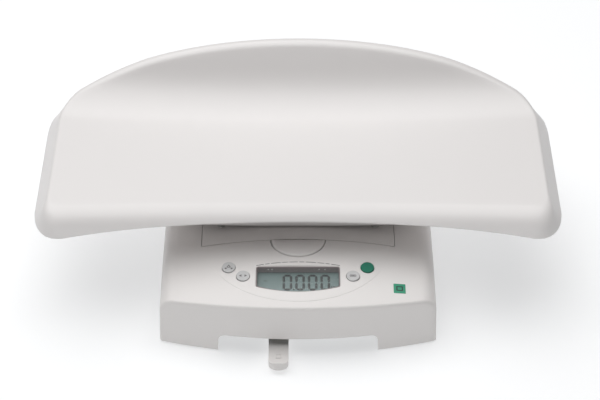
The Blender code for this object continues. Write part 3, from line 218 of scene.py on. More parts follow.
# Each slot of the record: colour, roughness, and whatever else its look needs
LOOK_ROWS = {
    "housing_white": ((0.79, 0.765, 0.75), 0.42, dict(tint=0.012, grain_depth=0.000006)),
    "tray_white": ((0.81, 0.785, 0.775), 0.36, dict(
        tint=0.010, tint_scale=6.0, grain_scale=900.0, grain_depth=0.000004)),
    "key_grey": ((0.57, 0.57, 0.57), 0.45, dict(tint=0.03, tint_scale=200.0)),
    "key_green": ((0.0, 0.175, 0.105), 0.5, dict(tint=0.06, tint_scale=200.0)),
    "label_green": ((0.02, 0.29, 0.165), 0.5, dict(tint=0.06, tint_scale=300.0)),
    "lcd_surround": ((0.33, 0.285, 0.29), 0.55, dict(tint=0.05, tint_scale=120.0)),
    "lcd_panel": ((0.175, 0.250, 0.243), 0.3, dict(
        tint=0.08, tint_scale=30.0, grain_depth=0.000001)),
    "clear_window": ((0.9, 0.92, 0.92), 0.06, dict(
        tint=0.01, rough_spread=0.02, grain_depth=0.0000005, Alpha=0.035)),
    "circuit_board": ((0.02, 0.16, 0.06), 0.4, dict(tint=0.25, tint_scale=500.0)),
    "silicone": ((0.42, 0.43, 0.44), 0.65, dict(tint=0.04, tint_scale=90.0)),
    "black_rubber": ((0.028, 0.028, 0.03), 0.75, dict(
        tint=0.2, tint_scale=150.0, grain_scale=1500.0, grain_depth=0.00003)),
    "black_plastic": ((0.025, 0.025, 0.027), 0.4, dict(tint=0.15, tint_scale=150.0)),
    "zinc_steel": ((0.60, 0.60, 0.585), 0.34, dict(
        metallic=1.0, tint=0.09, tint_scale=160.0, grain_scale=1800.0, grain_depth=0.000012,
        rough_spread=0.10)),
    "milled_aluminium": ((0.76, 0.765, 0.775), 0.30, dict(
        metallic=1.0, tint=0.05, tint_scale=60.0, grain_scale=700.0, grain_depth=0.000012,
        stretch=(1.0, 0.12, 1.0))),
    "cast_aluminium": ((0.60, 0.605, 0.61), 0.52, dict(
        metallic=1.0, tint=0.08, tint_scale=70.0, grain_scale=900.0, grain_depth=0.00006,
        rough_spread=0.10)),
    "inner_grey": ((0.43, 0.43, 0.425), 0.5, dict(
        tint=0.03, tint_scale=25.0, grain_depth=0.000012)),
    "cell_sleeve": ((0.06, 0.085, 0.13), 0.32, dict(tint=0.2, tint_scale=60.0)),
}

LOOKS = {slot: look(slot, colour, roughness, **more)
         for slot, (colour, roughness, more) in LOOK_ROWS.items()}
PRINT_GREY = look("print_grey", (0.16, 0.15, 0.155), 0.55, tint=0.15, tint_scale=700.0)
PRINT_LIGHT = look("print_light", (0.85, 0.85, 0.83), 0.5, tint=0.05, tint_scale=700.0)
LCD_INK = look("lcd_ink", (0.012, 0.018, 0.020), 0.35, tint=0.15, tint_scale=500.0)
LABEL_INK = look("label_ink", (0.010, 0.050, 0.035), 0.5, tint=0.1, tint_scale=500.0)
VIAL_LIQUID = look("vial_liquid", (0.42, 0.62, 0.06), 0.12, tint=0.05, tint_scale=400.0)


def dress_cad_nodes():
    """Gives every carried-over CAD node the material of its slot."""
    slots = {row["node"]: row["material_slot"] for row in frame["record"]["subparts"]}
    for name, node in frame["nodes"].items():
        for slot in node.material_slots:
            slot.material = LOOKS[slots[name]]


# ---------------------------------------------------------------- building blocks

def y_of(y):
    """World Y of a distance behind the middle of the base's front wall."""
    return FRONT + y


def smooth_step(low, high, value):
    t = min(max((value - low) / (high - low), 0.0), 1.0)
    return t * t * (3 - 2 * t)


def mesh_object(name, bm, sharp=40):
    bmesh.ops.remove_doubles(bm, verts=bm.verts, dist=0.000002)
    bmesh.ops.dissolve_degenerate(bm, edges=bm.edges, dist=0.000001)
    bmesh.ops.recalc_face_normals(bm, faces=bm.faces)
    mesh = bpy.data.meshes.new(name)
    bm.to_mesh(mesh)
    bm.free()
    mesh.shade_smooth()
    mesh.set_sharp_from_angle(angle=math.radians(sharp))
    return linked(name, mesh)


def patch(bm, rows, loop=False):
    """Quads between rows of points; loop joins each row's end to its start."""
    made = [[bm.verts.new(point) for point in row] for row in rows]
    count = len(rows[0])
    for near, far in zip(made, made[1:]):
        for i in range(count if loop else count - 1):
            j = (i + 1) % count
            bm.faces.new((near[i], near[j], far[j], far[i]))
    return made


def from_rings(name, rings, caps=(False, False), sharp=40):
    """A solid or a surface through closed rings; caps fills the first and the last ring."""
    bm = bmesh.new()
    made = patch(bm, rings, loop=True)
    for wanted, ring in zip(caps, (made[0], made[-1])):
        if wanted:
            bm.faces.new(ring)
    return mesh_object(name, bm, sharp)


def finish_piece(obj, slot, body, *replaced, paint=None):
    """Dresses a piece, makes it ride on a body and stand for the CAD nodes it replaces."""
    obj.data.materials.clear()
    obj.data.materials.append(paint or LOOKS[slot])
    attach(obj, body)
    if replaced:
        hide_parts(*replaced)
    return obj


def baked(obj):
    """Turns an object's modifiers into plain mesh."""
    solid = obj.evaluated_get(bpy.context.evaluated_depsgraph_get())
    mesh = bpy.data.meshes.new_from_object(solid)
    obj.modifiers.clear()
    obj.data = mesh
    return obj


def carved(obj, cutters=(), additions=(), sharp=40):
    """Adds and then cuts away closed meshes, which are used up."""
    steps = [(other, "UNION") for other in additions] + [(other, "DIFFERENCE") for other in cutters]
    for other, operation in steps:
        step = obj.modifiers.new(operation.lower(), "BOOLEAN")
        step.object = other
        step.operation = operation
    bpy.context.view_layer.update()
    baked(obj)
    for other, _ in steps:
        bpy.data.objects.remove(other, do_unlink=True)
    obj.data.shade_smooth()
    obj.data.set_sharp_from_angle(angle=math.radians(sharp))
    return obj


def filleted(points, radius, steps=6, closed=True):
    """The outline with its corners rounded; radius is one number, or one for each corner."""
    points = [Vector(p) for p in points]
    radii = radius if isinstance(radius, (list, tuple)) else [radius] * len(points)
    made = []
    for i, corner in enumerate(points):
        if not closed and i in (0, len(points) - 1) or radii[i] == 0:
            made.append(tuple(corner))
            continue
        before = points[i - 1] - corner
        after = points[(i + 1) % len(points)] - corner
        half = before.angle(after) / 2
        reach = min(radii[i] / math.tan(half), 0.49 * before.length, 0.49 * after.length)
        start = corner + before.normalized() * reach
        end = corner + after.normalized() * reach
        middle = corner + (before.normalized() + after.normalized()).normalized() * (
            reach / math.cos(half))
        first, last = start - middle, end - middle
        turn = first.angle_signed(last)
        for k in range(steps + 1):
            made.append(tuple(middle + Matrix.Rotation(-turn * k / steps, 2) @ first))
    return made


def offset(points, distance):
    """An anticlockwise outline moved outward by a distance, its corners kept mitred."""
    points = [Vector(p) for p in points]
    made = []
    for i, point in enumerate(points):
        into = (point - points[i - 1]).normalized()
        out = (points[(i + 1) % len(points)] - point).normalized()
        normal = Vector((into.y, -into.x)) + Vector((out.y, -out.x))
        normal.normalize()
        lean = max(0.5, normal.dot(Vector((out.y, -out.x))))
        made.append(tuple(point + normal * distance / lean))
    return made


def rectangle(x, half, near, far):
    """Four corners, anticlockwise, of a rectangle that has the line at x in its middle."""
    return [(x - half, near), (x + half, near), (x + half, far), (x - half, far)]


def centre_of(node):
    """(x, y) of the middle of a CAD node."""
    low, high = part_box(node)
    return (low.x + high.x) / 2, (low.y + high.y) / 2


def linked(name, data):
    obj = bpy.data.objects.new(name, data)
    bpy.context.scene.collection.objects.link(obj)
    return obj


def bevelled(obj, width, segments, angle=30):
    edges = obj.modifiers.new("rounded_edges", "BEVEL")
    edges.width = width
    edges.segments = segments
    edges.limit_method = "ANGLE"
    edges.angle_limit = math.radians(angle)
    return baked(obj)


def circle(x, y, radius, steps=48):
    angles = [2 * math.pi * k / steps for k in range(steps)]
    return [(x + radius * math.cos(a), y + radius * math.sin(a)) for a in angles]


def level(height):
    return lambda x, y: height


def slab(name, outline, top, low, edge=0.0, low_edge=0.0, core=None, inner=0, steps=4, sharp=40):
    """A plate with this outline between two heights, each a function of x and y.

    Its edges are rounded. core gives the line that a curved top's inner rings close in on."""
    rings = []
    if core:
        for k in range(inner, 0, -1):
            rings.append(drawn_in(offset(outline, -low_edge), core, k / inner, low))
    for k in range(steps + 1):
        angle = math.pi / 2 * k / steps
        inset = low_edge * (1 - math.sin(angle))
        rise = low_edge * (1 - math.cos(angle))
        rings.append([(x, y, low(x, y) + rise) for x, y in offset(outline, -inset)])
    for k in range(steps + 1):
        angle = math.pi / 2 * k / steps
        inset = edge * (1 - math.cos(angle))
        drop = edge * (1 - math.sin(angle))
        rings.append([(x, y, top(x, y) - drop) for x, y in offset(outline, -inset)])
    if core:
        for k in range(1, inner + 1):
            rings.append(drawn_in(offset(outline, -edge), core, k / inner, top))
    return from_rings(name, rings, (not core, not core), sharp)


def drawn_in(outline, core, share, height):
    ring = []
    for x, y in outline:
        cx, cy = core(x, y)
        px, py = x + (cx - x) * share, y + (cy - y) * share
        ring.append((px, py, height(px, py)))
    return ring


def flared_cutter(name, outline, surface, radius, depth, above=0.004, steps=4):
    """A cutter that leaves a rounded edge where it comes out through a surface."""
    rings = [[(x, y, surface(x, y) - depth) for x, y in outline]]
    for k in range(steps + 1):
        angle = math.pi / 2 * k / steps
        spread = offset(outline, radius * (1 - math.cos(angle)))
        rings.append([(x, y, surface(x, y) - radius * (1 - math.sin(angle))) for x, y in spread])
    rings.append([(x, y, z + 0.0001) for x, y, z in rings[-1]])
    wide = offset(outline, radius + 0.0002)
    rings.append([(x, y, surface(x, y) + above) for x, y in wide])
    return from_rings(name, rings, (True, True))


def on_panel(obj):
    obj.data.transform(PANEL)
    return obj


def revolved(name, profile, place=(0.0, 0.0, 0.0), steps=64, ripple=(0, 0.0, 0.0), sharp=40):
    """A turned piece from (radius, height) pairs. ripple is (count, depth, least radius)."""
    count, depth, least = ripple
    rings = []
    for radius, height in profile:
        ring = []
        for k in range(steps):
            angle = 2 * math.pi * k / steps
            wave = depth * (0.5 - 0.5 * math.cos(count * angle)) if radius > least else 0.0
            ring.append((place[0] + (radius - wave) * math.cos(angle),
                         place[1] + (radius - wave) * math.sin(angle), place[2] + height))
        rings.append(ring)
    return from_rings(name, rings, sharp=sharp)


def softened(node, slot, body, width=0.0004, segments=2, angle=30):
    """A copy of a CAD node with fine rounded edges, which stands for it."""
    source = frame["nodes"][node]
    bm = bmesh.new()
    bm.from_mesh(source.data)
    bm.transform(source.matrix_world)
    bmesh.ops.remove_doubles(bm, verts=bm.verts, dist=0.000002)
    bmesh.ops.dissolve_limit(bm, angle_limit=math.radians(0.5), verts=bm.verts, edges=bm.edges)
    obj = bevelled(mesh_object(node + "_fine", bm, angle), width, segments, angle)
    obj.data.shade_smooth()
    obj.data.set_sharp_from_angle(angle=math.radians(50))
    return finish_piece(obj, slot, body, node)


# ---------------------------------------------------------------- base housing

def front_bow(x):
    return BASE_BOW * (x / BASE_HALF_WIDTH) ** 2


def crown_drop(x):
    return CROWN * (x / CROWN_SPAN) ** 2


def top_height(x, y):
    """Height of the base's outer top: a crowned panel that slopes up to a level part."""
    before = PANEL_LENGTH - y
    slope = math.tan(SLOPE)
    if before < -PANEL_BLEND:
        drop = 0.0
    elif before < PANEL_BLEND:
        drop = slope * (before + PANEL_BLEND) ** 2 / (4 * PANEL_BLEND)
    else:
        drop = slope * before
    return PLATE_LEVEL - drop - crown_drop(x)


def world_top(x, y):
    return top_height(x, y - FRONT)


def field_rise(y):
    """How far the raised field stands out of the panel, at a distance behind the front."""
    return (FIELD_RISE + 0.00015) * (1 - smooth_step(*FIELD_FADE, y)) - 0.00015


def panel_surface(x, v):
    """Out-of-panel height of the housing's surface in the raised field."""
    return max(field_rise(v * math.cos(SLOPE) + FRONT_DRAFT), 0.0) - crown_drop(x)


def arc_distances(radius, steps=7):
    return [radius * (1 - math.cos(math.pi / 2 * k / steps)) for k in range(steps + 1)]


def corner_inset(distance, radius):
    """How far a round corner draws in at this distance from the end."""
    if distance >= radius:
        return 0.0
    return radius - math.sqrt(radius ** 2 - (radius - distance) ** 2)


def base_stations():
    """(distance from the front, from the nearer end, corner radius) along the base."""
    front = sorted({round(d, 7) for d in arc_distances(TOP_EDGE) + arc_distances(FRONT_CORNER)})
    rows = [(d, d, FRONT_CORNER) for d in front]
    count = 32
    step = (REAR_CORNERS_FROM - FRONT_CORNER) / count
    rows += [(FRONT_CORNER + step * k, 1.0, FRONT_CORNER) for k in range(1, count + 1)]
    rear_start = BASE_DEPTH - REAR_CORNER
    rows += [(REAR_CORNERS_FROM + (rear_start - REAR_CORNERS_FROM) * k / 20, 1.0, REAR_CORNER)
             for k in range(1, 20)]
    rear = sorted({round(d, 7) for d in arc_distances(TOP_EDGE) + arc_distances(REAR_CORNER)})
    rows += [(BASE_DEPTH - d, d, REAR_CORNER) for d in reversed(rear)]
    return rows


def shoulder_section(arc_steps=12, flat_steps=44):
    """(x, drop below the crown line) across the whole top, and where its right arc starts."""
    centre = SIDE_TOP_HALF_WIDTH - SHOULDER_RADIUS
    slope = math.atan(2 * CROWN * centre / CROWN_SPAN ** 2)
    start = centre + SHOULDER_RADIUS * math.sin(slope)
    half = [(start * k / flat_steps, 0.0) for k in range(flat_steps + 1)]
    for step in range(1, arc_steps + 1):
        angle = slope + (math.pi / 2 - slope) * step / arc_steps
        drop = SHOULDER_RADIUS * (math.cos(slope) - math.cos(angle))
        half.append((centre + SHOULDER_RADIUS * math.sin(angle), drop))
    return [(-x, drop) for x, drop in reversed(half[1:])] + half, start


def housing_skin():
    """The open outer skin of the base: its top, front, rear and sides."""
    section, start = shoulder_section()
    tops, feet = [], []
    for depth, distance, radius in base_stations():
        narrow = 1 - corner_inset(distance, radius) / SIDE_TOP_HALF_WIDTH
        edge_drop = corner_inset(distance, TOP_EDGE)
        share = 1 - depth / BASE_DEPTH
        tops.append([])
        feet.append([])
        for x, drop in section:
            width = x * narrow
            y = share * (front_bow(width) + FRONT_DRAFT) + depth
            height = top_height(min(abs(width), start), y) - drop - edge_drop
            tops[-1].append(Vector((width, y_of(y), height)))
            feet[-1].append(Vector((width * BASE_HALF_WIDTH / SIDE_TOP_HALF_WIDTH,
                                    y_of(y - FRONT_DRAFT * share), BASE_BOTTOM)))
    bm = bmesh.new()
    patch(bm, tops)
    shares = (0.0, 0.02, 0.25, 0.5, 0.75, 1.0)
    for end in (0, -1):
        patch(bm, [[a.lerp(b, share) for a, b in zip(tops[end], feet[end])] for share in shares])
        patch(bm, [[a[end].lerp(b[end], share) for a, b in zip(tops, feet)] for share in shares])
    return mesh_object("base_shell", bm, sharp=60)


def raised_field():
    """The elliptical field, as a slab that sits in the top wall and stands just out of it."""
    steps = 160
    outline = []
    for k in range(steps):
        angle = 2 * math.pi * k / steps
        outline.append((FIELD_HALF[0] * math.cos(angle),
                        y_of(FIELD_MIDDLE + FIELD_HALF[1] * math.sin(angle))))
    middle = y_of(FIELD_MIDDLE)
    return slab("raised_field", outline, lambda x, y: world_top(x, y) + field_rise(y - FRONT),
                lambda x, y: world_top(x, y) - 0.0012, edge=0.0006, core=lambda x, y: (0.0, middle),
                inner=24, steps=4)


def notch_cutter():
    half = NOTCH_HALF_WIDTH
    flare = 0.0016
    outline = filleted([(-half - flare, -0.0100), (half + flare, -0.0100), (half, NOTCH_TOP),
                        (-half, NOTCH_TOP)], [0, 0, NOTCH_CORNER, NOTCH_CORNER], steps=10)
    notch = slab("notch", outline, level(0.030), level(-0.030))
    notch.data.transform(Matrix.Translation((0, y_of(0.0), 0))
                         @ Matrix.Rotation(math.pi / 2, 4, "X"))
    return notch


def seam_front(x):
    bow = SEAM_FRONT_MIDDLE - SEAM_FRONT_CORNER
    return SEAM_FRONT_MIDDLE - bow * (x / SEAM_HALF_WIDTH) ** 2


def seam_outline(columns=40):
    """Outline of the load plate, anticlockwise from its front left corner."""
    half = SEAM_HALF_WIDTH
    front = [(half * (2 * k / columns - 1), seam_front(half * (2 * k / columns - 1)))
             for k in range(columns + 1)]
    corners = [front[0], front[-1], (half, SEAM_REAR), (-half, SEAM_REAR)]
    rounded = filleted(corners, [0.0012, 0.0012, SEAM_CORNER, SEAM_CORNER], steps=6)
    sides = (rounded[7:14], rounded[14:21], rounded[21:28])
    reach = half - 0.0012
    arch = [point for point in front if abs(point[0]) < reach]
    whole = rounded[:7] + arch + sides[0]
    whole += [(half, SEAM_FRONT_CORNER + (SEAM_REAR - SEAM_FRONT_CORNER) * k / 12)
              for k in range(1, 12)]
    whole += sides[1]
    whole += [(-point[0], SEAM_REAR) for point in arch]
    whole += sides[2]
    whole += [(-half, SEAM_REAR - (SEAM_REAR - SEAM_FRONT_CORNER) * k / 12) for k in range(1, 12)]
    return [(x, y_of(y)) for x, y in whole]


def grip_outline(steps=40):
    """Half-moon in front of the seam, its straight side just in front of the load plate."""
    points = []
    for step in range(steps + 1):
        angle = math.pi + math.pi * step / steps
        points.append((GRIP_HALF_WIDTH * math.cos(angle),
                       y_of(SEAM_FRONT_MIDDLE - SEAM_GAP + GRIP_REACH * math.sin(angle))))
    return points


def grip_cutter():
    moon = offset(grip_outline(), SEAM_GAP)
    front = moon[1:-1]
    back = y_of(SEAM_FRONT_MIDDLE + 0.004)
    outline = front + [(front[-1][0], back), (front[0][0], back)]
    return flared_cutter("grip_opening", outline, world_top, 0.0005, 0.012)


def window_outline(spare=0.0, steps=28, corner=0.0012):
    """Display window: straight top, round near side."""
    half = WINDOW_HALF_WIDTH
    sag = WINDOW_CORNER_BOTTOM - WINDOW_MIDDLE_BOTTOM
    near = []
    for k in range(1, steps):
        x = -half + 2 * half * k / steps
        near.append((x, WINDOW_CORNER_BOTTOM - sag * (1 - (x / half) ** 2)))
    corners = [(-half, WINDOW_CORNER_BOTTOM)] + near + [(half, WINDOW_CORNER_BOTTOM)]
    corners += [(half, WINDOW_TOP), (-half, WINDOW_TOP)]
    radii = [corner] + [0] * len(near) + [corner] * 3
    return offset(filleted(corners, radii, steps=5), spare)


def make_housing():
    shell = housing_skin()
    walls = shell.modifiers.new("wall", "SOLIDIFY")
    walls.thickness = WALL
    walls.offset = -1.0
    walls.use_even_offset = True
    baked(shell)
    cutters = [notch_cutter(),
               flared_cutter("plate_opening", offset(seam_outline(), FINE_SEAM), world_top, 0.0002,
                             0.012),
               grip_cutter(),
               on_panel(flared_cutter("window_opening", window_outline(TUNNEL_WALL + GAP),
                                      panel_surface, 0.0006, 0.008))]
    for name, (x, v) in KEY_PLACES.items():
        hole = circle(x, v, KEY_RADIUS + 0.0004)
        cutters.append(on_panel(flared_cutter(name + "_hole", hole, panel_surface, 0.0004, 0.008)))
    vial = circle(*centre_of("level_vial"), VIAL_HOLE_RADIUS)
    cutters.append(flared_cutter("vial_hole", vial, world_top, 0.0005, 0.012))
    inlet = slab("socket_hole", circle(0.0, 0.0, SOCKET_HOLE_RADIUS), level(0.010), level(-0.010))
    socket_place = (centre_of("power_socket")[0], y_of(BASE_DEPTH), SOCKET_LEVEL)
    inlet.data.transform(Matrix.Translation(socket_place) @ Matrix.Rotation(math.pi / 2, 4, "X"))
    cutters.append(inlet)
    carved(shell, cutters, [raised_field()], sharp=35)
    finish_piece(shell, "housing_white", "base", "base_housing")


# ---------------------------------------------------------------- load plate and grip

def make_load_plate():
    core_half = SEAM_HALF_WIDTH * 0.8
    middle = y_of((SEAM_FRONT_MIDDLE + SEAM_REAR) / 2)
    plate = slab("load_plate_fine", seam_outline(), world_top,
                 lambda x, y: world_top(x, y) - PLATE_THICKNESS, edge=0.0003, low_edge=0.0003,
                 core=lambda x, y: (max(-core_half, min(core_half, x)), middle), inner=14)
    x, _ = centre_of("tray_tongue")
    slot = filleted(rectangle(x, 0.008, *(y_of(y) for y in TONGUE_SLOT)), 0.0012)
    cutters = [flared_cutter("tongue_slot", slot, world_top, 0.0005, 0.008)]
    for i in range(4):
        hole = circle(*centre_of(f"plate_screw_{i + 1}"), 0.0024, 24)
        cutters.append(slab(f"screw_hole_{i}", hole, level(0.085), level(0.060)))
    carved(plate, cutters, sharp=35)
    finish_piece(plate, "housing_white", "platform", "load_plate")


def make_plate_grip():
    _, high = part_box("plate_grip")
    outline = filleted(grip_outline(), [0.0008] + [0] * 39 + [0.0008], steps=3)
    middle = y_of(SEAM_FRONT_MIDDLE - 0.006)
    base_level = world_top(0.0, y_of(SEAM_FRONT_MIDDLE - GRIP_REACH)) - 0.0035
    grip = slab("plate_grip_fine", outline, lambda x, y: world_top(0.0, y) + 0.0006,
                level(base_level), edge=0.0020, low_edge=0.0002,
                core=lambda x, y: (x * 0.2, middle), inner=8, steps=5)
    finish_piece(grip, "housing_white", "platform", "plate_grip")
    lug_top = PLATE_LEVEL - PLATE_THICKNESS - GAP - crown_drop(0.016)
    lug = slab("plate_grip_lug", filleted(rectangle(0.0, 0.015, y_of(0.080), high.y), 0.0010),
               level(lug_top), level(lug_top - 0.0030), edge=0.0003, low_edge=0.0003)
    finish_piece(lug, "housing_white", "platform")


# ---------------------------------------------------------------- display and keys

def make_surround():
    """Dark tunnel between the window in the housing and the LCD, with a rounded top edge."""
    outer, inner = window_outline(TUNNEL_WALL), window_outline(0.0)
    rings = [[(x, v, -LCD_DEPTH + GAP) for x, v in inner]]
    for k in range(7):
        angle = math.pi * k / 6
        middle = offset(inner, TUNNEL_WALL / 2 * (1 - math.cos(angle)))
        rings.append([(x, v, -0.0010 + TUNNEL_WALL / 2 * math.sin(angle)) for x, v in middle])
    rings.append([(x, v, -LCD_DEPTH + GAP) for x, v in outer])
    rings.append(rings[0])
    tunnel = on_panel(from_rings("lcd_tunnel", rings))
    finish_piece(tunnel, "lcd_surround", "base", "lcd_surround")
    marks = bmesh.new()
    for x in (-0.0302, -0.0264, 0.0214, 0.0274):
        outline = circle(x, -0.0040, 0.0008, 16)
        rings = patch(marks, [[(px, WINDOW_TOP - depth, w) for px, w in outline]
                              for depth in (0.0, 0.00008)], loop=True)
        marks.faces.new(rings[1])
    dots = on_panel(mesh_object("surround_dots", marks))
    finish_piece(dots, "lcd_surround", "base", paint=PRINT_LIGHT)


SEGMENTS = {"a": (0.5, 1.0, True), "b": (1.0, 0.75, False), "c": (1.0, 0.25, False),
            "d": (0.5, 0.0, True), "e": (0.0, 0.25, False), "f": (0.0, 0.75, False)}
DIGIT_SIZE = (0.0073, 0.0182)  # between the middles of the segments
DIGIT_PITCH = 0.0128
DIGIT_START = (-0.0144, 0.0327)
STROKE = 0.0026


def bar(points_at, length, width, along_x):
    """Outline of one pointed segment."""
    x, v = points_at
    half, nib = length / 2, width / 2
    shape = [(-half, 0), (-half + nib, -nib), (half - nib, -nib), (half, 0), (half - nib, nib),
             (-half + nib, nib)]
    if along_x:
        return [(x + a, v + b) for a, b in shape]
    return [(x - b, v + a) for a, b in shape]


def add_flat(bm, outline, low, high):
    rings = patch(bm, [[(x, y, z) for x, y in outline] for z in (low, high)], loop=True)
    for ring in rings:
        bm.faces.new(ring)


def make_digits():
    """A reading of four noughts, with a point, a plain dash and a plain unit mark."""
    bm = bmesh.new()
    width, height = DIGIT_SIZE
    low, high = -LCD_DEPTH + 0.00002, -LCD_DEPTH + 0.00010
    for digit in range(4):
        left = DIGIT_START[0] + DIGIT_PITCH * digit
        for across, up, along_x in SEGMENTS.values():
            length = width - 0.0004 if along_x else height / 2 - 0.0004
            middle = (left + width * across, DIGIT_START[1] + height * up)
            add_flat(bm, bar(middle, length, STROKE, along_x), low, high)
    point = (DIGIT_START[0] + width + (DIGIT_PITCH - width) / 2, DIGIT_START[1])
    add_flat(bm, circle(*point, 0.0009, 16), low, high)
    add_flat(bm, bar((-0.0330, DIGIT_START[1] + height * 0.62), 0.0040, 0.0009, True), low, high)
    for x in (0.0340, 0.0368):
        add_flat(bm, bar((x, DIGIT_START[1] + 0.0030), 0.0026, 0.0008, False), low, high)
    add_flat(bm, bar((0.0354, DIGIT_START[1] + 0.0042), 0.0024, 0.0007, True), low, high)
    digits = on_panel(mesh_object("lcd_digits", bm))
    finish_piece(digits, "lcd_panel", "base", paint=LCD_INK)


def make_print_line():
    """A row of plain dashes in an arch over the display, where the panel has small print."""
    bm = bmesh.new()
    span, rise = 0.0425, 0.0042
    lengths = (0.0052, 0.0030, 0.0066, 0.0040, 0.0058, 0.0034, 0.0070, 0.0046, 0.0028, 0.0060)
    total = sum(lengths) + 0.0011 * (len(lengths) - 1)
    x = -total / 2
    for length in lengths:
        rows = []
        for k in range(5):
            px = (x + length * k / 4) * span * 2 / total
            v = 0.0572 + rise * (1 - (px / span) ** 2)
            w = panel_surface(px, v)
            rows.append([(px, v, w + 0.00004), (px, v + 0.00075, w + 0.00004),
                         (px, v + 0.00075, w - 0.0001), (px, v, w - 0.0001)])
        rings = patch(bm, rows, loop=True)
        bm.faces.new(rings[0])
        bm.faces.new(rings[-1])
        x += length + 0.0011
    dashes = on_panel(mesh_object("panel_print", bm))
    finish_piece(dashes, "housing_white", "base", paint=PRINT_GREY)


def triangle(x, v, size, turn=0.0):
    angles = [turn + math.pi / 2 + 2 * math.pi * k / 3 for k in range(3)]
    return filleted([(x + size * math.cos(a), v + size * math.sin(a)) for a in angles], size * 0.12)


def ring_shape(bm, outline, width, low, high):
    inner = offset(outline, -width)
    rows = [[(x, y, low) for x, y in outline], [(x, y, high) for x, y in outline],
            [(x, y, high) for x, y in inner], [(x, y, low) for x, y in inner]]
    rows.append(rows[0])
    patch(bm, rows, loop=True)


def key_symbol(name, bm, x, v, low, high):
    """Plain generic marks: a triangle over two dots, two arrows, or a frame with a line."""
    if name == "key_outer_left":
        ring_shape(bm, triangle(x, v + 0.0008, 0.0027), 0.0007, low, high)
        for side in (-1, 1):
            add_flat(bm, circle(x + side * 0.0030, v - 0.0018, 0.0010, 20), low, high)
    elif name == "key_inner_left":
        for side in (-1, 1):
            add_flat(bm, triangle(x + side * 0.0024, v, 0.0018, side * -math.pi / 2), low, high)
    elif name == "key_inner_right":
        frame_outline = filleted([(x - 0.0032, v - 0.0012), (x + 0.0032, v - 0.0012),
                                  (x + 0.0032, v + 0.0012), (x - 0.0032, v + 0.0012)], 0.0006)
        ring_shape(bm, frame_outline, 0.0006, low, high)
        add_flat(bm, bar((x, v), 0.0036, 0.0005, True), low, high)


def make_keys():
    for name, (x, v) in KEY_PLACES.items():
        top = KEY_PROUD
        stem_foot = -0.0110 + crown_drop(x)
        profile = [(0.0, top - 0.00022), (0.0040, top - 0.00014)]
        profile += filleted([(0.0058, top), (KEY_RADIUS, top), (KEY_RADIUS, -0.0030)],
                            [0, 0.0008, 0], steps=6, closed=False)
        profile += [(0.0030, -0.0030), (0.0030, stem_foot), (0.0, stem_foot)]
        slot = "key_green" if name == "key_outer_right" else "key_grey"
        cap = on_panel(revolved(name + "_fine", profile, (x, v, -crown_drop(x)), sharp=50))
        finish_piece(cap, slot, name, name)
        if slot == "key_grey":
            bm = bmesh.new()
            face = top - crown_drop(x) - 0.0002
            key_symbol(name, bm, x, v, face - 0.0001, face + 0.00012)
            symbol = on_panel(mesh_object(name + "_symbol", bm))
            finish_piece(symbol, slot, name, paint=PRINT_GREY)


def make_approval_label():
    """Square green sticker with a plain square mark."""
    x, y = 0.1025, 0.0325
    across = math.atan(2 * CROWN * x / CROWN_SPAN ** 2)
    turn = Matrix.Rotation(SLOPE, 4, "X") @ Matrix.Rotation(across, 4, "Y")
    normal = turn.to_3x3() @ Vector((0, 0, 1))
    place = Matrix.Translation(Vector((x, y_of(y), top_height(x, y))) + normal * 0.00004) @ turn
    half = 0.0061
    square = [(-half, -half), (half, -half), (half, half), (-half, half)]
    sticker = slab("approval_sticker", filleted(square, 0.0006), level(0.00016), level(-0.00006),
                   edge=0.00004)
    sticker.data.transform(place)
    finish_piece(sticker, "label_green", "base", "approval_label")
    bm = bmesh.new()
    mark = filleted([(a * 0.56, b * 0.50) for a, b in square], 0.0004)
    ring_shape(bm, mark, 0.0013, 0.00010, 0.00020)
    ink = mesh_object("approval_mark", bm)
    ink.data.transform(place)
    finish_piece(ink, "label_green", "base", paint=LABEL_INK)


# ---------------------------------------------------------------- tray

def tray_section(s):
    """(y, height, tilt) of the section through the tray's middle, s along it from the cove."""
    along = max(s, 0.0)
    angle = min(along / COVE_RADIUS, COVE_ANGLE)
    straight = max(along - COVE_RADIUS * COVE_ANGLE, 0.0)
    y = COVE_START + min(s, 0.0) + COVE_RADIUS * math.sin(angle) + straight * math.cos(COVE_ANGLE)
    z = TRAY_LEVEL + COVE_RADIUS * (1 - math.cos(angle)) + straight * math.sin(COVE_ANGLE)
    return y, z, angle


def tray_point(x, s):
    y, z, _ = tray_section(s)
    return Vector((x, y_of(y), z + TROUGH * (x / TROUGH_SPAN) ** 2))


def tray_axes(x, s):
    """Unit vectors along x, along s and out of the tray's upper face."""
    tilt = tray_section(s)[2]
    along_x = Vector((1.0, 0.0, 2 * TROUGH * x / TROUGH_SPAN ** 2)).normalized()
    along_s = Vector((0.0, math.cos(tilt), math.sin(tilt)))
    return along_x, along_s, along_x.cross(along_s).normalized()


def rim_front(x):
    return RIM_FRONT - RIM_FRONT_BOW * (x / RIM_SPAN) ** 2


def rim_back(x):
    a, b = RIM_ELLIPSE
    return RIM_BACK - b * (1 - math.sqrt(1 - (x / a) ** 2))


def front_fillet():
    """(tangent x, tangent s, centre s, direction) of the corner between front and end."""
    radius = RIM_FRONT_CORNER
    x = RIM_END - radius
    direction = math.atan((rim_front(x + 0.0001) - rim_front(x)) / 0.0001)
    tangent_x = x + radius * math.sin(direction)
    tangent_s = rim_front(tangent_x)
    return tangent_x, tangent_s, tangent_s + radius * math.cos(direction), direction


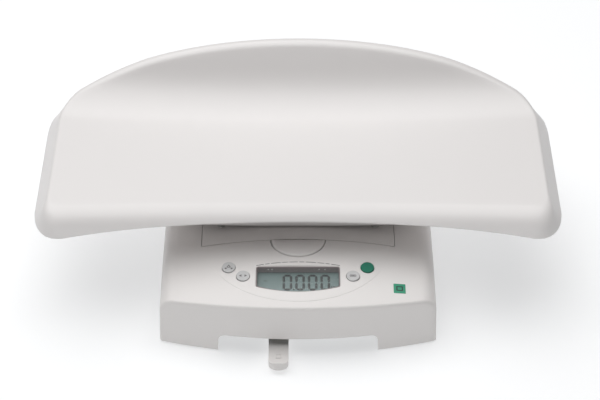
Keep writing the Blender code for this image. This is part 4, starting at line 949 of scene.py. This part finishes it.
def back_fillet():
    """The same for the corner between the end and the elliptical back."""
    a, b = RIM_ELLIPSE
    radius = RIM_BACK_CORNER
    low, high = RIM_END - 1.7 * radius, RIM_END - 0.0005
    for _ in range(50):
        x = (low + high) / 2
        direction = math.atan(-b * x / (a * a * math.sqrt(1 - (x / a) ** 2)))
        if x + radius * math.sin(direction) > RIM_END - radius:
            high = x
        else:
            low = x
    return x, rim_back(x), rim_back(x) - radius * math.cos(direction), direction


def rim_path(middle, side, corner, end, back_corner, back_side):
    """Right half of the line where the rim begins to turn, from the front's middle to the
    back's middle, as (x, s, outward angle). The arguments are numbers of steps."""
    fx, _, front_centre, front_direction = front_fillet()
    bx, _, back_centre, back_direction = back_fillet()
    path = []

    def along(x_from, x_to, steps, line, sign):
        for step in range(steps):
            x = x_from + (x_to - x_from) * step / steps
            slope = (line(x + 0.0001) - line(x - 0.0001)) / 0.0002
            path.append((x, line(x), math.atan2(sign, -sign * slope)))

    along(0.0, SKELETON_HALF, middle, rim_front, -1)
    along(SKELETON_HALF, fx, side, rim_front, -1)
    for step in range(corner):
        angle = front_direction - math.pi / 2 + (math.pi / 2 - front_direction) * step / corner
        path.append((RIM_END + RIM_FRONT_CORNER * (math.cos(angle) - 1),
                     front_centre + RIM_FRONT_CORNER * math.sin(angle), angle))
    for step in range(end):
        path.append((RIM_END, front_centre + (back_centre - front_centre) * step / end, 0.0))
    for step in range(back_corner):
        angle = (math.pi / 2 + back_direction) * step / back_corner
        path.append((RIM_END + RIM_BACK_CORNER * (math.cos(angle) - 1),
                     back_centre + RIM_BACK_CORNER * math.sin(angle), angle))
    along(bx, SKELETON_HALF, back_side, rim_back, 1)
    along(SKELETON_HALF, 0.0, middle, rim_back, 1)
    path.append((0.0, rim_back(0.0), math.pi / 2))
    return path


def rim_turn(x, angle):
    """(radius, angle, straight length) of the rim where its outward direction is this."""
    outward = math.atan2(math.sin(angle), abs(math.cos(angle)))
    across = min(abs(x) / RIM_SPAN, 1.1)
    front = (FRONT_TURN[0], FRONT_TURN[1] + FRONT_CORNER_MORE[0] * across ** 2,
             FRONT_TURN[2] + FRONT_CORNER_MORE[1] * across ** 4)
    to_end = smooth_step(math.radians(-85), math.radians(-5), outward)
    to_back = smooth_step(math.radians(15), math.radians(85), outward)
    turn = []
    for at_front, at_end, at_back in zip(front, END_TURN, BACK_TURN):
        value = at_front * (1 - to_end) + at_end * to_end
        turn.append(value * (1 - to_back) + at_back * to_back)
    return turn


def rim_point(x, s, angle, arc_share, straight_share, sink=0.0, lip=None):
    """A point on the turned rim, sunk into the wall, or round its lip at an angle."""
    radius, turn, straight = rim_turn(x, angle)
    along_x, along_s, up = tray_axes(x, s)
    outward = (along_x * math.cos(angle) + along_s * math.sin(angle)).normalized()
    bend = turn * arc_share
    normal = up * math.cos(bend) + outward * math.sin(bend)
    ahead = outward * math.cos(bend) - up * math.sin(bend)
    point = tray_point(x, s) + outward * radius * math.sin(bend)
    point = point - up * radius * (1 - math.cos(bend)) + ahead * straight * straight_share
    if lip is None:
        return point - normal * sink
    half = TRAY_WALL / 2
    return point - normal * half + (normal * math.cos(lip) + ahead * math.sin(lip)) * half


def flat_point(x, s, share, sink):
    """A point of the tray's floor or back, share of the way from the rim to the middle line."""
    core = max(-SKELETON_HALF, min(SKELETON_HALF, x))
    px, ps = x + (core - x) * share, s + (SKELETON_S - s) * share
    return tray_point(px, ps) - tray_axes(px, ps)[2] * sink


def make_tray_shell():
    """Both skins of the tray and the round lip of its rim, as one ring surface."""
    path = rim_path(middle=26, side=10, corner=12, end=18, back_corner=18, back_side=14)
    loop = path + [(-x, s, math.pi - angle) for x, s, angle in reversed(path[1:-1])]
    inner, arc, straight, lip = 26, 14, 4, 6
    upper = [[flat_point(x, s, k / inner, 0.0) for x, s, _ in loop] for k in range(inner, 0, -1)]
    upper += [[rim_point(*at, k / arc, 0.0) for at in loop] for k in range(arc + 1)]
    upper += [[rim_point(*at, 1.0, k / straight) for at in loop] for k in range(1, straight + 1)]
    edge = [[rim_point(*at, 1.0, 1.0, lip=math.pi * k / lip) for at in loop] for k in range(1, lip)]
    under = [[rim_point(*at, 1.0, k / straight, TRAY_WALL) for at in loop]
             for k in range(straight, 0, -1)]
    under += [[rim_point(*at, k / arc, 0.0, TRAY_WALL) for at in loop] for k in range(arc, -1, -1)]
    under += [[flat_point(x, s, k / inner, TRAY_WALL) for x, s, _ in loop]
              for k in range(1, inner + 1)]
    tray = from_rings("tray_shell_fine", upper + edge + under, sharp=60)
    finish_piece(tray, "tray_white", "tray", "tray_shell")


def tray_underside(x, y):
    """Height of the tray's lower face above a point, where the tray is about level."""
    height = TRAY_LEVEL + TROUGH * (x / TROUGH_SPAN) ** 2 - TRAY_WALL
    before = COVE_START + rim_front(x) - y
    if before > 0:
        radius = FRONT_TURN[0] - TRAY_WALL
        before = min(before, radius * 0.9)
        height -= radius - math.sqrt(radius ** 2 - before ** 2)
    behind = y - COVE_START
    if behind > 0:
        radius = COVE_RADIUS + TRAY_WALL
        height += radius - math.sqrt(radius ** 2 - behind ** 2)
    return height


def hull_bottom(x):
    share = min(abs(x) / HULL_RISE_SPAN, 1.0)
    return HULL_BOTTOM + HULL_RISE * (1 - (1 - share ** 2.4) ** (2 / 3))


def hull_front(x):
    return HULL_FRONT - HULL_FRONT_BOW * (x / RIM_SPAN) ** 2


def hull_loop(columns, corner_steps, end_steps):
    """The hull's outline, anticlockwise from the front's middle."""
    straight = HULL_HALF_LENGTH - HULL_CORNER
    half = [(straight * k / columns, hull_front(straight * k / columns)) for k in range(columns)]
    low, high = hull_front(straight) + HULL_CORNER, HULL_REAR - HULL_CORNER
    for step in range(corner_steps):
        angle = math.pi / 2 * (step / corner_steps - 1)
        half.append((straight + HULL_CORNER * math.cos(angle), low + HULL_CORNER * math.sin(angle)))
    for step in range(end_steps):
        half.append((HULL_HALF_LENGTH, low + (high - low) * step / end_steps))
    for step in range(corner_steps):
        angle = math.pi / 2 * step / corner_steps
        half.append((straight + HULL_CORNER * math.cos(angle),
                     high + HULL_CORNER * math.sin(angle)))
    half += [(straight * (1 - k / columns), HULL_REAR) for k in range(columns + 1)]
    return half + [(-x, y) for x, y in reversed(half[1:-1])]


def make_tray_hull():
    """Boat-shaped lower shell: its wall curves into the bottom over a tenth of its depth."""
    loop = hull_loop(28, 12, 10)
    middle = (HULL_FRONT + HULL_REAR) / 2
    straight = HULL_HALF_LENGTH - HULL_CORNER
    turn_share = 0.09

    def drawn(x, y, share):
        core = max(-straight, min(straight, x))
        return x + (core - x) * share, y + (middle - y) * share

    rings = []
    for k in range(13):
        angle = math.pi / 2 * k / 12
        ring = []
        for x, y in loop:
            inward = y + math.copysign(WALL, middle - y)
            rim = min(tray_underside(x, y), tray_underside(x, inward)) - HULL_RIM_GAP
            px, py = drawn(x, y, turn_share * (1 - math.cos(angle)))
            floor = hull_bottom(px)
            ring.append((px, y_of(py), floor + (rim - floor) * (1 - math.sin(angle))))
        rings.append(ring)
    for k in range(1, 11):
        ring = []
        for x, y in loop:
            px, py = drawn(x, y, turn_share + (1 - turn_share) * k / 10)
            ring.append((px, y_of(py), hull_bottom(px)))
        rings.append(ring)
    bm = bmesh.new()
    patch(bm, rings, loop=True)
    hull = mesh_object("tray_hull_fine", bm, sharp=60)
    facing = sum(face.normal.z * face.area for face in hull.data.polygons)
    walls = hull.modifiers.new("wall", "SOLIDIFY")
    walls.thickness = WALL
    walls.offset = 1.0 if facing > 0 else -1.0
    baked(hull)
    hull.data.shade_smooth()
    hull.data.set_sharp_from_angle(angle=math.radians(60))
    finish_piece(hull, "tray_white", "tray", "tray_hull")


# ---------------------------------------------------------------- release lever and feet

def make_release_lever():
    low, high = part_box("release_lever")
    x = (low.x + high.x) / 2
    half = (high.x - low.x) / 2
    tip = low.y
    outline = []
    for step in range(33):
        angle = math.pi + math.pi * step / 32
        outline.append((x + half * math.cos(angle), tip + 0.0080 * (1 + math.sin(angle))))
    outline += [(x + half, y_of(0.0200)), (x - half, y_of(0.0200))]
    tab = slab("release_lever_fine", outline, level(TAB_TOP), level(0.0055))
    slant = slab("tab_slant", rectangle(0.0, 0.030, -0.015, 0.0), level(0.015), level(0.0))
    slant.data.transform(Matrix.Translation((x, tip + 0.0022, TAB_TOP))
                         @ Matrix.Rotation(math.radians(72), 4, "X"))
    carved(tab, [slant])
    bm = bmesh.new()
    bm.from_mesh(tab.data)
    bmesh.ops.dissolve_limit(bm, angle_limit=math.radians(1), verts=bm.verts, edges=bm.edges)
    bm.to_mesh(tab.data)
    bm.free()
    bevelled(tab, 0.0007, 4)
    strip = filleted(rectangle(x, 0.007, y_of(0.0190), high.y), 0.0010)
    bar_piece = slab("release_lever_bar", strip, level(0.0125), level(0.0095), edge=0.0004,
                     low_edge=0.0004)
    hook = filleted(rectangle(x, 0.003, y_of(0.0760), y_of(0.0795)), 0.0006)
    lug = slab("release_lever_lug", hook, level(0.0179), level(0.0120), edge=0.0004)
    bm = bmesh.new()
    centre = tip + 0.0125
    square = rectangle(x, 0.003, centre - 0.003, centre + 0.003)
    ring_shape(bm, filleted(square, 0.0006), 0.0011, 0.0133, 0.0141)
    mark = mesh_object("release_lever_mark", bm)
    finish_piece(tab, "housing_white", "lever", "release_lever")
    for piece in (bar_piece, lug, mark):
        finish_piece(piece, "housing_white", "lever")


def make_lever_spring():
    """Coiled tension spring of round wire, between the lever and its guide."""
    low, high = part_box("lever_spring")
    x, z = (low.x + high.x) / 2, (low.z + high.z) / 2
    radius = (high.x - low.x) / 2 - 0.00035
    points = []
    turns, steps = 9, 20
    for k in range(turns * steps + 1):
        angle = 2 * math.pi * k / steps
        share = k / (turns * steps)
        y = low.y + 0.0010 + (high.y - low.y - 0.0020) * share
        points.append((x + radius * math.cos(angle), y, z + radius * math.sin(angle)))
    curve = bpy.data.curves.new("lever_spring_fine", "CURVE")
    curve.dimensions = "3D"
    curve.bevel_depth = 0.00030
    curve.bevel_resolution = 3
    curve.use_fill_caps = True
    spline = curve.splines.new("POLY")
    spline.points.add(len(points) - 1)
    for point, place in zip(spline.points, points):
        point.co = (*place, 1.0)
    wire = linked("lever_spring_wire", curve)
    bpy.context.view_layer.update()
    solid = wire.evaluated_get(bpy.context.evaluated_depsgraph_get())
    mesh = bpy.data.meshes.new_from_object(solid)
    bpy.data.objects.remove(wire, do_unlink=True)
    mesh.shade_smooth()
    spring = linked("lever_spring_fine", mesh)
    mesh.materials.clear()
    mesh.materials.append(LOOKS["zinc_steel"])
    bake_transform(spring)
    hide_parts("lever_spring")


def make_feet():
    """Rubber pads with a grooved underside, and threaded studs with a knurled thumb wheel."""
    for corner in ("front_left", "front_right", "rear_left", "rear_right"):
        place = (*centre_of("foot_pad_" + corner), 0.0)
        pad = [(0.0, 0.0046), (0.0098, 0.0046), (0.0106, 0.0043), (0.0117, 0.0036),
               (0.0120, 0.0031), (0.0120, 0.0012), (0.0117, 0.0004), (0.0110, 0.0)]
        for groove in (0.0092, 0.0058):
            pad += [(groove, 0.0), (groove - 0.0004, 0.0004), (groove - 0.0012, 0.0004),
                    (groove - 0.0016, 0.0)]
        pad.append((0.0, 0.0))
        finish_piece(revolved("foot_pad_fine_" + corner, pad, place), "black_rubber",
                     "foot_" + corner, "foot_pad_" + corner)
        stud = [(0.0, STUD_TOP), (0.0022, STUD_TOP), (0.0029, STUD_TOP - 0.0007)]
        for k in range(THREAD_TURNS):
            z = STUD_TOP - 0.0012 - THREAD_PITCH * k
            stud += [(0.0029, z), (0.0025, z - 0.0004), (0.0025, z - 0.0006), (0.0029, z - 0.00085)]
        stud += filleted([(0.0029, 0.0112), (0.0112, 0.0112), (0.0112, 0.0076), (0.0045, 0.0076),
                          (0.0045, 0.0049), (0.0, 0.0049)], [0, 0.0008, 0.0008, 0, 0.0004, 0],
                         steps=3, closed=False)
        wheel = revolved("foot_stud_fine_" + corner, stud, place, steps=144,
                         ripple=(36, 0.0004, 0.0100), sharp=35)
        finish_piece(wheel, "zinc_steel", "stud_" + corner, "foot_stud_" + corner)


def cross_recess(place, width, depth, up):
    """A cutter for a screw's cross drive, sunk from its head's outer face."""
    x, y, z = place
    near, far = (z - depth, z + 0.001) if up else (z - 0.001, z + depth)
    arm = width * 0.28
    cross = [(width, -arm), (width, arm), (arm, arm), (arm, width), (-arm, width), (-arm, arm)]
    cross += [(-a, -b) for a, b in cross]
    return slab("drive", [(x + a, y + b) for a, b in cross], level(far), level(near))


def make_screws():
    """Housing screws and plate screws, all with a cross drive."""
    for i in range(4):
        low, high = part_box(f"housing_screw_{i + 1}")
        x, y = centre_of(f"housing_screw_{i + 1}")
        head = low.z
        profile = [(0.0, high.z), (0.0016, high.z), (0.0016, head + 0.0021),
                   (0.0040, head + 0.0021), (0.0039, head + 0.0008), (0.0030, head + 0.0001),
                   (0.0, head)]
        screw = revolved(f"housing_screw_fine_{i + 1}", profile, (x, y, 0.0), steps=40)
        carved(screw, [cross_recess((x, y, head), 0.0021, 0.0012, False)])
        finish_piece(screw, "zinc_steel", "base", f"housing_screw_{i + 1}")
        low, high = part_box(f"plate_screw_{i + 1}")
        x, y = centre_of(f"plate_screw_{i + 1}")
        top = high.z
        profile = [(0.0, top), (0.0028, top - 0.0001), (0.0040, top - 0.0007),
                   (0.0042, top - 0.0016), (0.0016, top - 0.0016), (0.0016, low.z), (0.0, low.z)]
        screw = revolved(f"plate_screw_fine_{i + 1}", profile, (x, y, 0.0), steps=40)
        carved(screw, [cross_recess((x, y, top), 0.0021, 0.0010, True)])
        finish_piece(screw, "zinc_steel", "platform", f"plate_screw_{i + 1}")


def make_level_vial():
    """Round spirit level: white ring, green liquid, bubble, black ring mark, clear cap."""
    place = (*centre_of("level_vial"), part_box("level_vial")[1].z)
    ring = [(0.0, -0.0070), (0.0062, -0.0070), (0.0062, -0.0005), (0.0058, 0.0), (0.0052, 0.0),
            (0.0050, -0.0003), (0.0050, -0.0030), (0.0, -0.0030)]
    finish_piece(revolved("vial_housing", ring, place), "clear_window", "base", "level_vial",
                 paint=LOOKS["housing_white"])
    liquid = [(0.0, -0.0029), (0.0049, -0.0029), (0.0049, -0.0008), (0.0, -0.0006)]
    finish_piece(revolved("vial_liquid", liquid, place), "clear_window", "base", paint=VIAL_LIQUID)
    bubble = [(0.0, -0.00040), (0.0006, -0.00043), (0.0012, -0.00052), (0.0014, -0.0007),
              (0.0, -0.0009)]
    finish_piece(revolved("vial_bubble", bubble, place, steps=32), "clear_window", "base",
                 paint=PRINT_LIGHT)
    mark = [(0.0022, -0.00050), (0.0025, -0.00050), (0.0025, -0.0008), (0.0022, -0.0008),
            (0.0022, -0.00050)]
    finish_piece(revolved("vial_ring", mark, place, steps=40), "clear_window", "base",
                 paint=PRINT_GREY)
    cap = [(0.0, -0.00005), (0.0040, -0.00010), (0.0048, -0.00025), (0.0048, -0.00035),
           (0.0, -0.00030)]
    finish_piece(revolved("vial_cap", cap, place), "clear_window", "base")


# Width of the rounded edges that each of these CAD pieces gets
INNER_PIECES = {"bottom_plate": 0.0004, "battery_door": 0.0004, "lever_guide": 0.0004,
                "spider_bracket": 0.0005, "load_cell": 0.0003, "lower_bracket": 0.0003,
                "battery_box": 0.0003, "tray_tongue": 0.0002, "lever_catch": 0.0003,
                "cell_bolt_upper_1": 0.0003, "cell_bolt_upper_2": 0.0003}


def make_inner_pieces():
    """Plates, boxes and brackets of the CAD with fine rounded edges."""
    record = frame["record"]
    slots = {row["node"]: row["material_slot"] for row in record["subparts"]}
    bodies = {node: body for body, nodes in record["behaviour"]["bodies"].items() for node in nodes}
    for node, width in INNER_PIECES.items():
        softened(node, slots[node], bodies[node], width)


# ---------------------------------------------------------------- stage

WORLD_STRENGTH = 0.03
FLOOR_GLOW = 0.52  # a light table
SOFT_BOXES = (  # name, place, size, power
    ("key_light", (-0.30, 0.36, 2.20), (2.8, 2.8), 65.0),
    ("front_light", (-0.25, -2.40, 0.45), (1.8, 0.6), 7.5),
)
LIGHTS_AIM = Vector((0, 0, 0.08))
CAMERA_PLACE = (0.002, -1.4922, 1.3422)
CAMERA_TILT = math.radians(50)
CAMERA_LENS, CAMERA_SENSOR = 112.0, 36.0  # millimetres


def make_stage():
    bpy.ops.mesh.primitive_plane_add(size=30.0, location=(0.0, 0.0, -0.0002))
    floor = bpy.context.active_object
    floor.name = "studio_floor"
    pale = look("studio_floor", (0.55, 0.553, 0.556), 0.9, tint=0.004, tint_scale=2.0,
                Emission_Color=(0.98, 0.99, 1.0, 1.0), Emission_Strength=FLOOR_GLOW)
    floor.data.materials.append(pale)
    world = bpy.data.worlds.new("studio")
    bpy.context.scene.world = world
    world.use_nodes = True
    background = world.node_tree.nodes["Background"]
    background.inputs["Color"].default_value = (0.97, 0.985, 1.0, 1.0)
    background.inputs["Strength"].default_value = WORLD_STRENGTH
    for name, place, size, power in SOFT_BOXES:
        light = bpy.data.lights.new(name, "AREA")
        light.shape = "RECTANGLE"
        light.size, light.size_y = size
        light.energy = power
        lamp = linked(name, light)
        lamp.location = place
        lamp.rotation_mode = "QUATERNION"
        lamp.rotation_quaternion = (Vector(place) - LIGHTS_AIM).to_track_quat("Z", "Y")
    bpy.context.scene.view_settings.view_transform = "Standard"


def make_camera():
    data = bpy.data.cameras.new("camera")
    data.lens = CAMERA_LENS
    data.sensor_width = CAMERA_SENSOR
    camera = linked("camera", data)
    camera.location = CAMERA_PLACE
    camera.rotation_euler = (CAMERA_TILT, 0.0, 0.0)
    bpy.context.scene.camera = camera


make_stage()
make_camera()
dress_cad_nodes()
make_tray_shell()
make_tray_hull()
make_housing()
make_load_plate()
make_plate_grip()
make_surround()
make_digits()
make_print_line()
make_keys()
make_approval_label()
make_release_lever()
make_lever_spring()
make_feet()
make_screws()
make_level_vial()
make_inner_pieces()
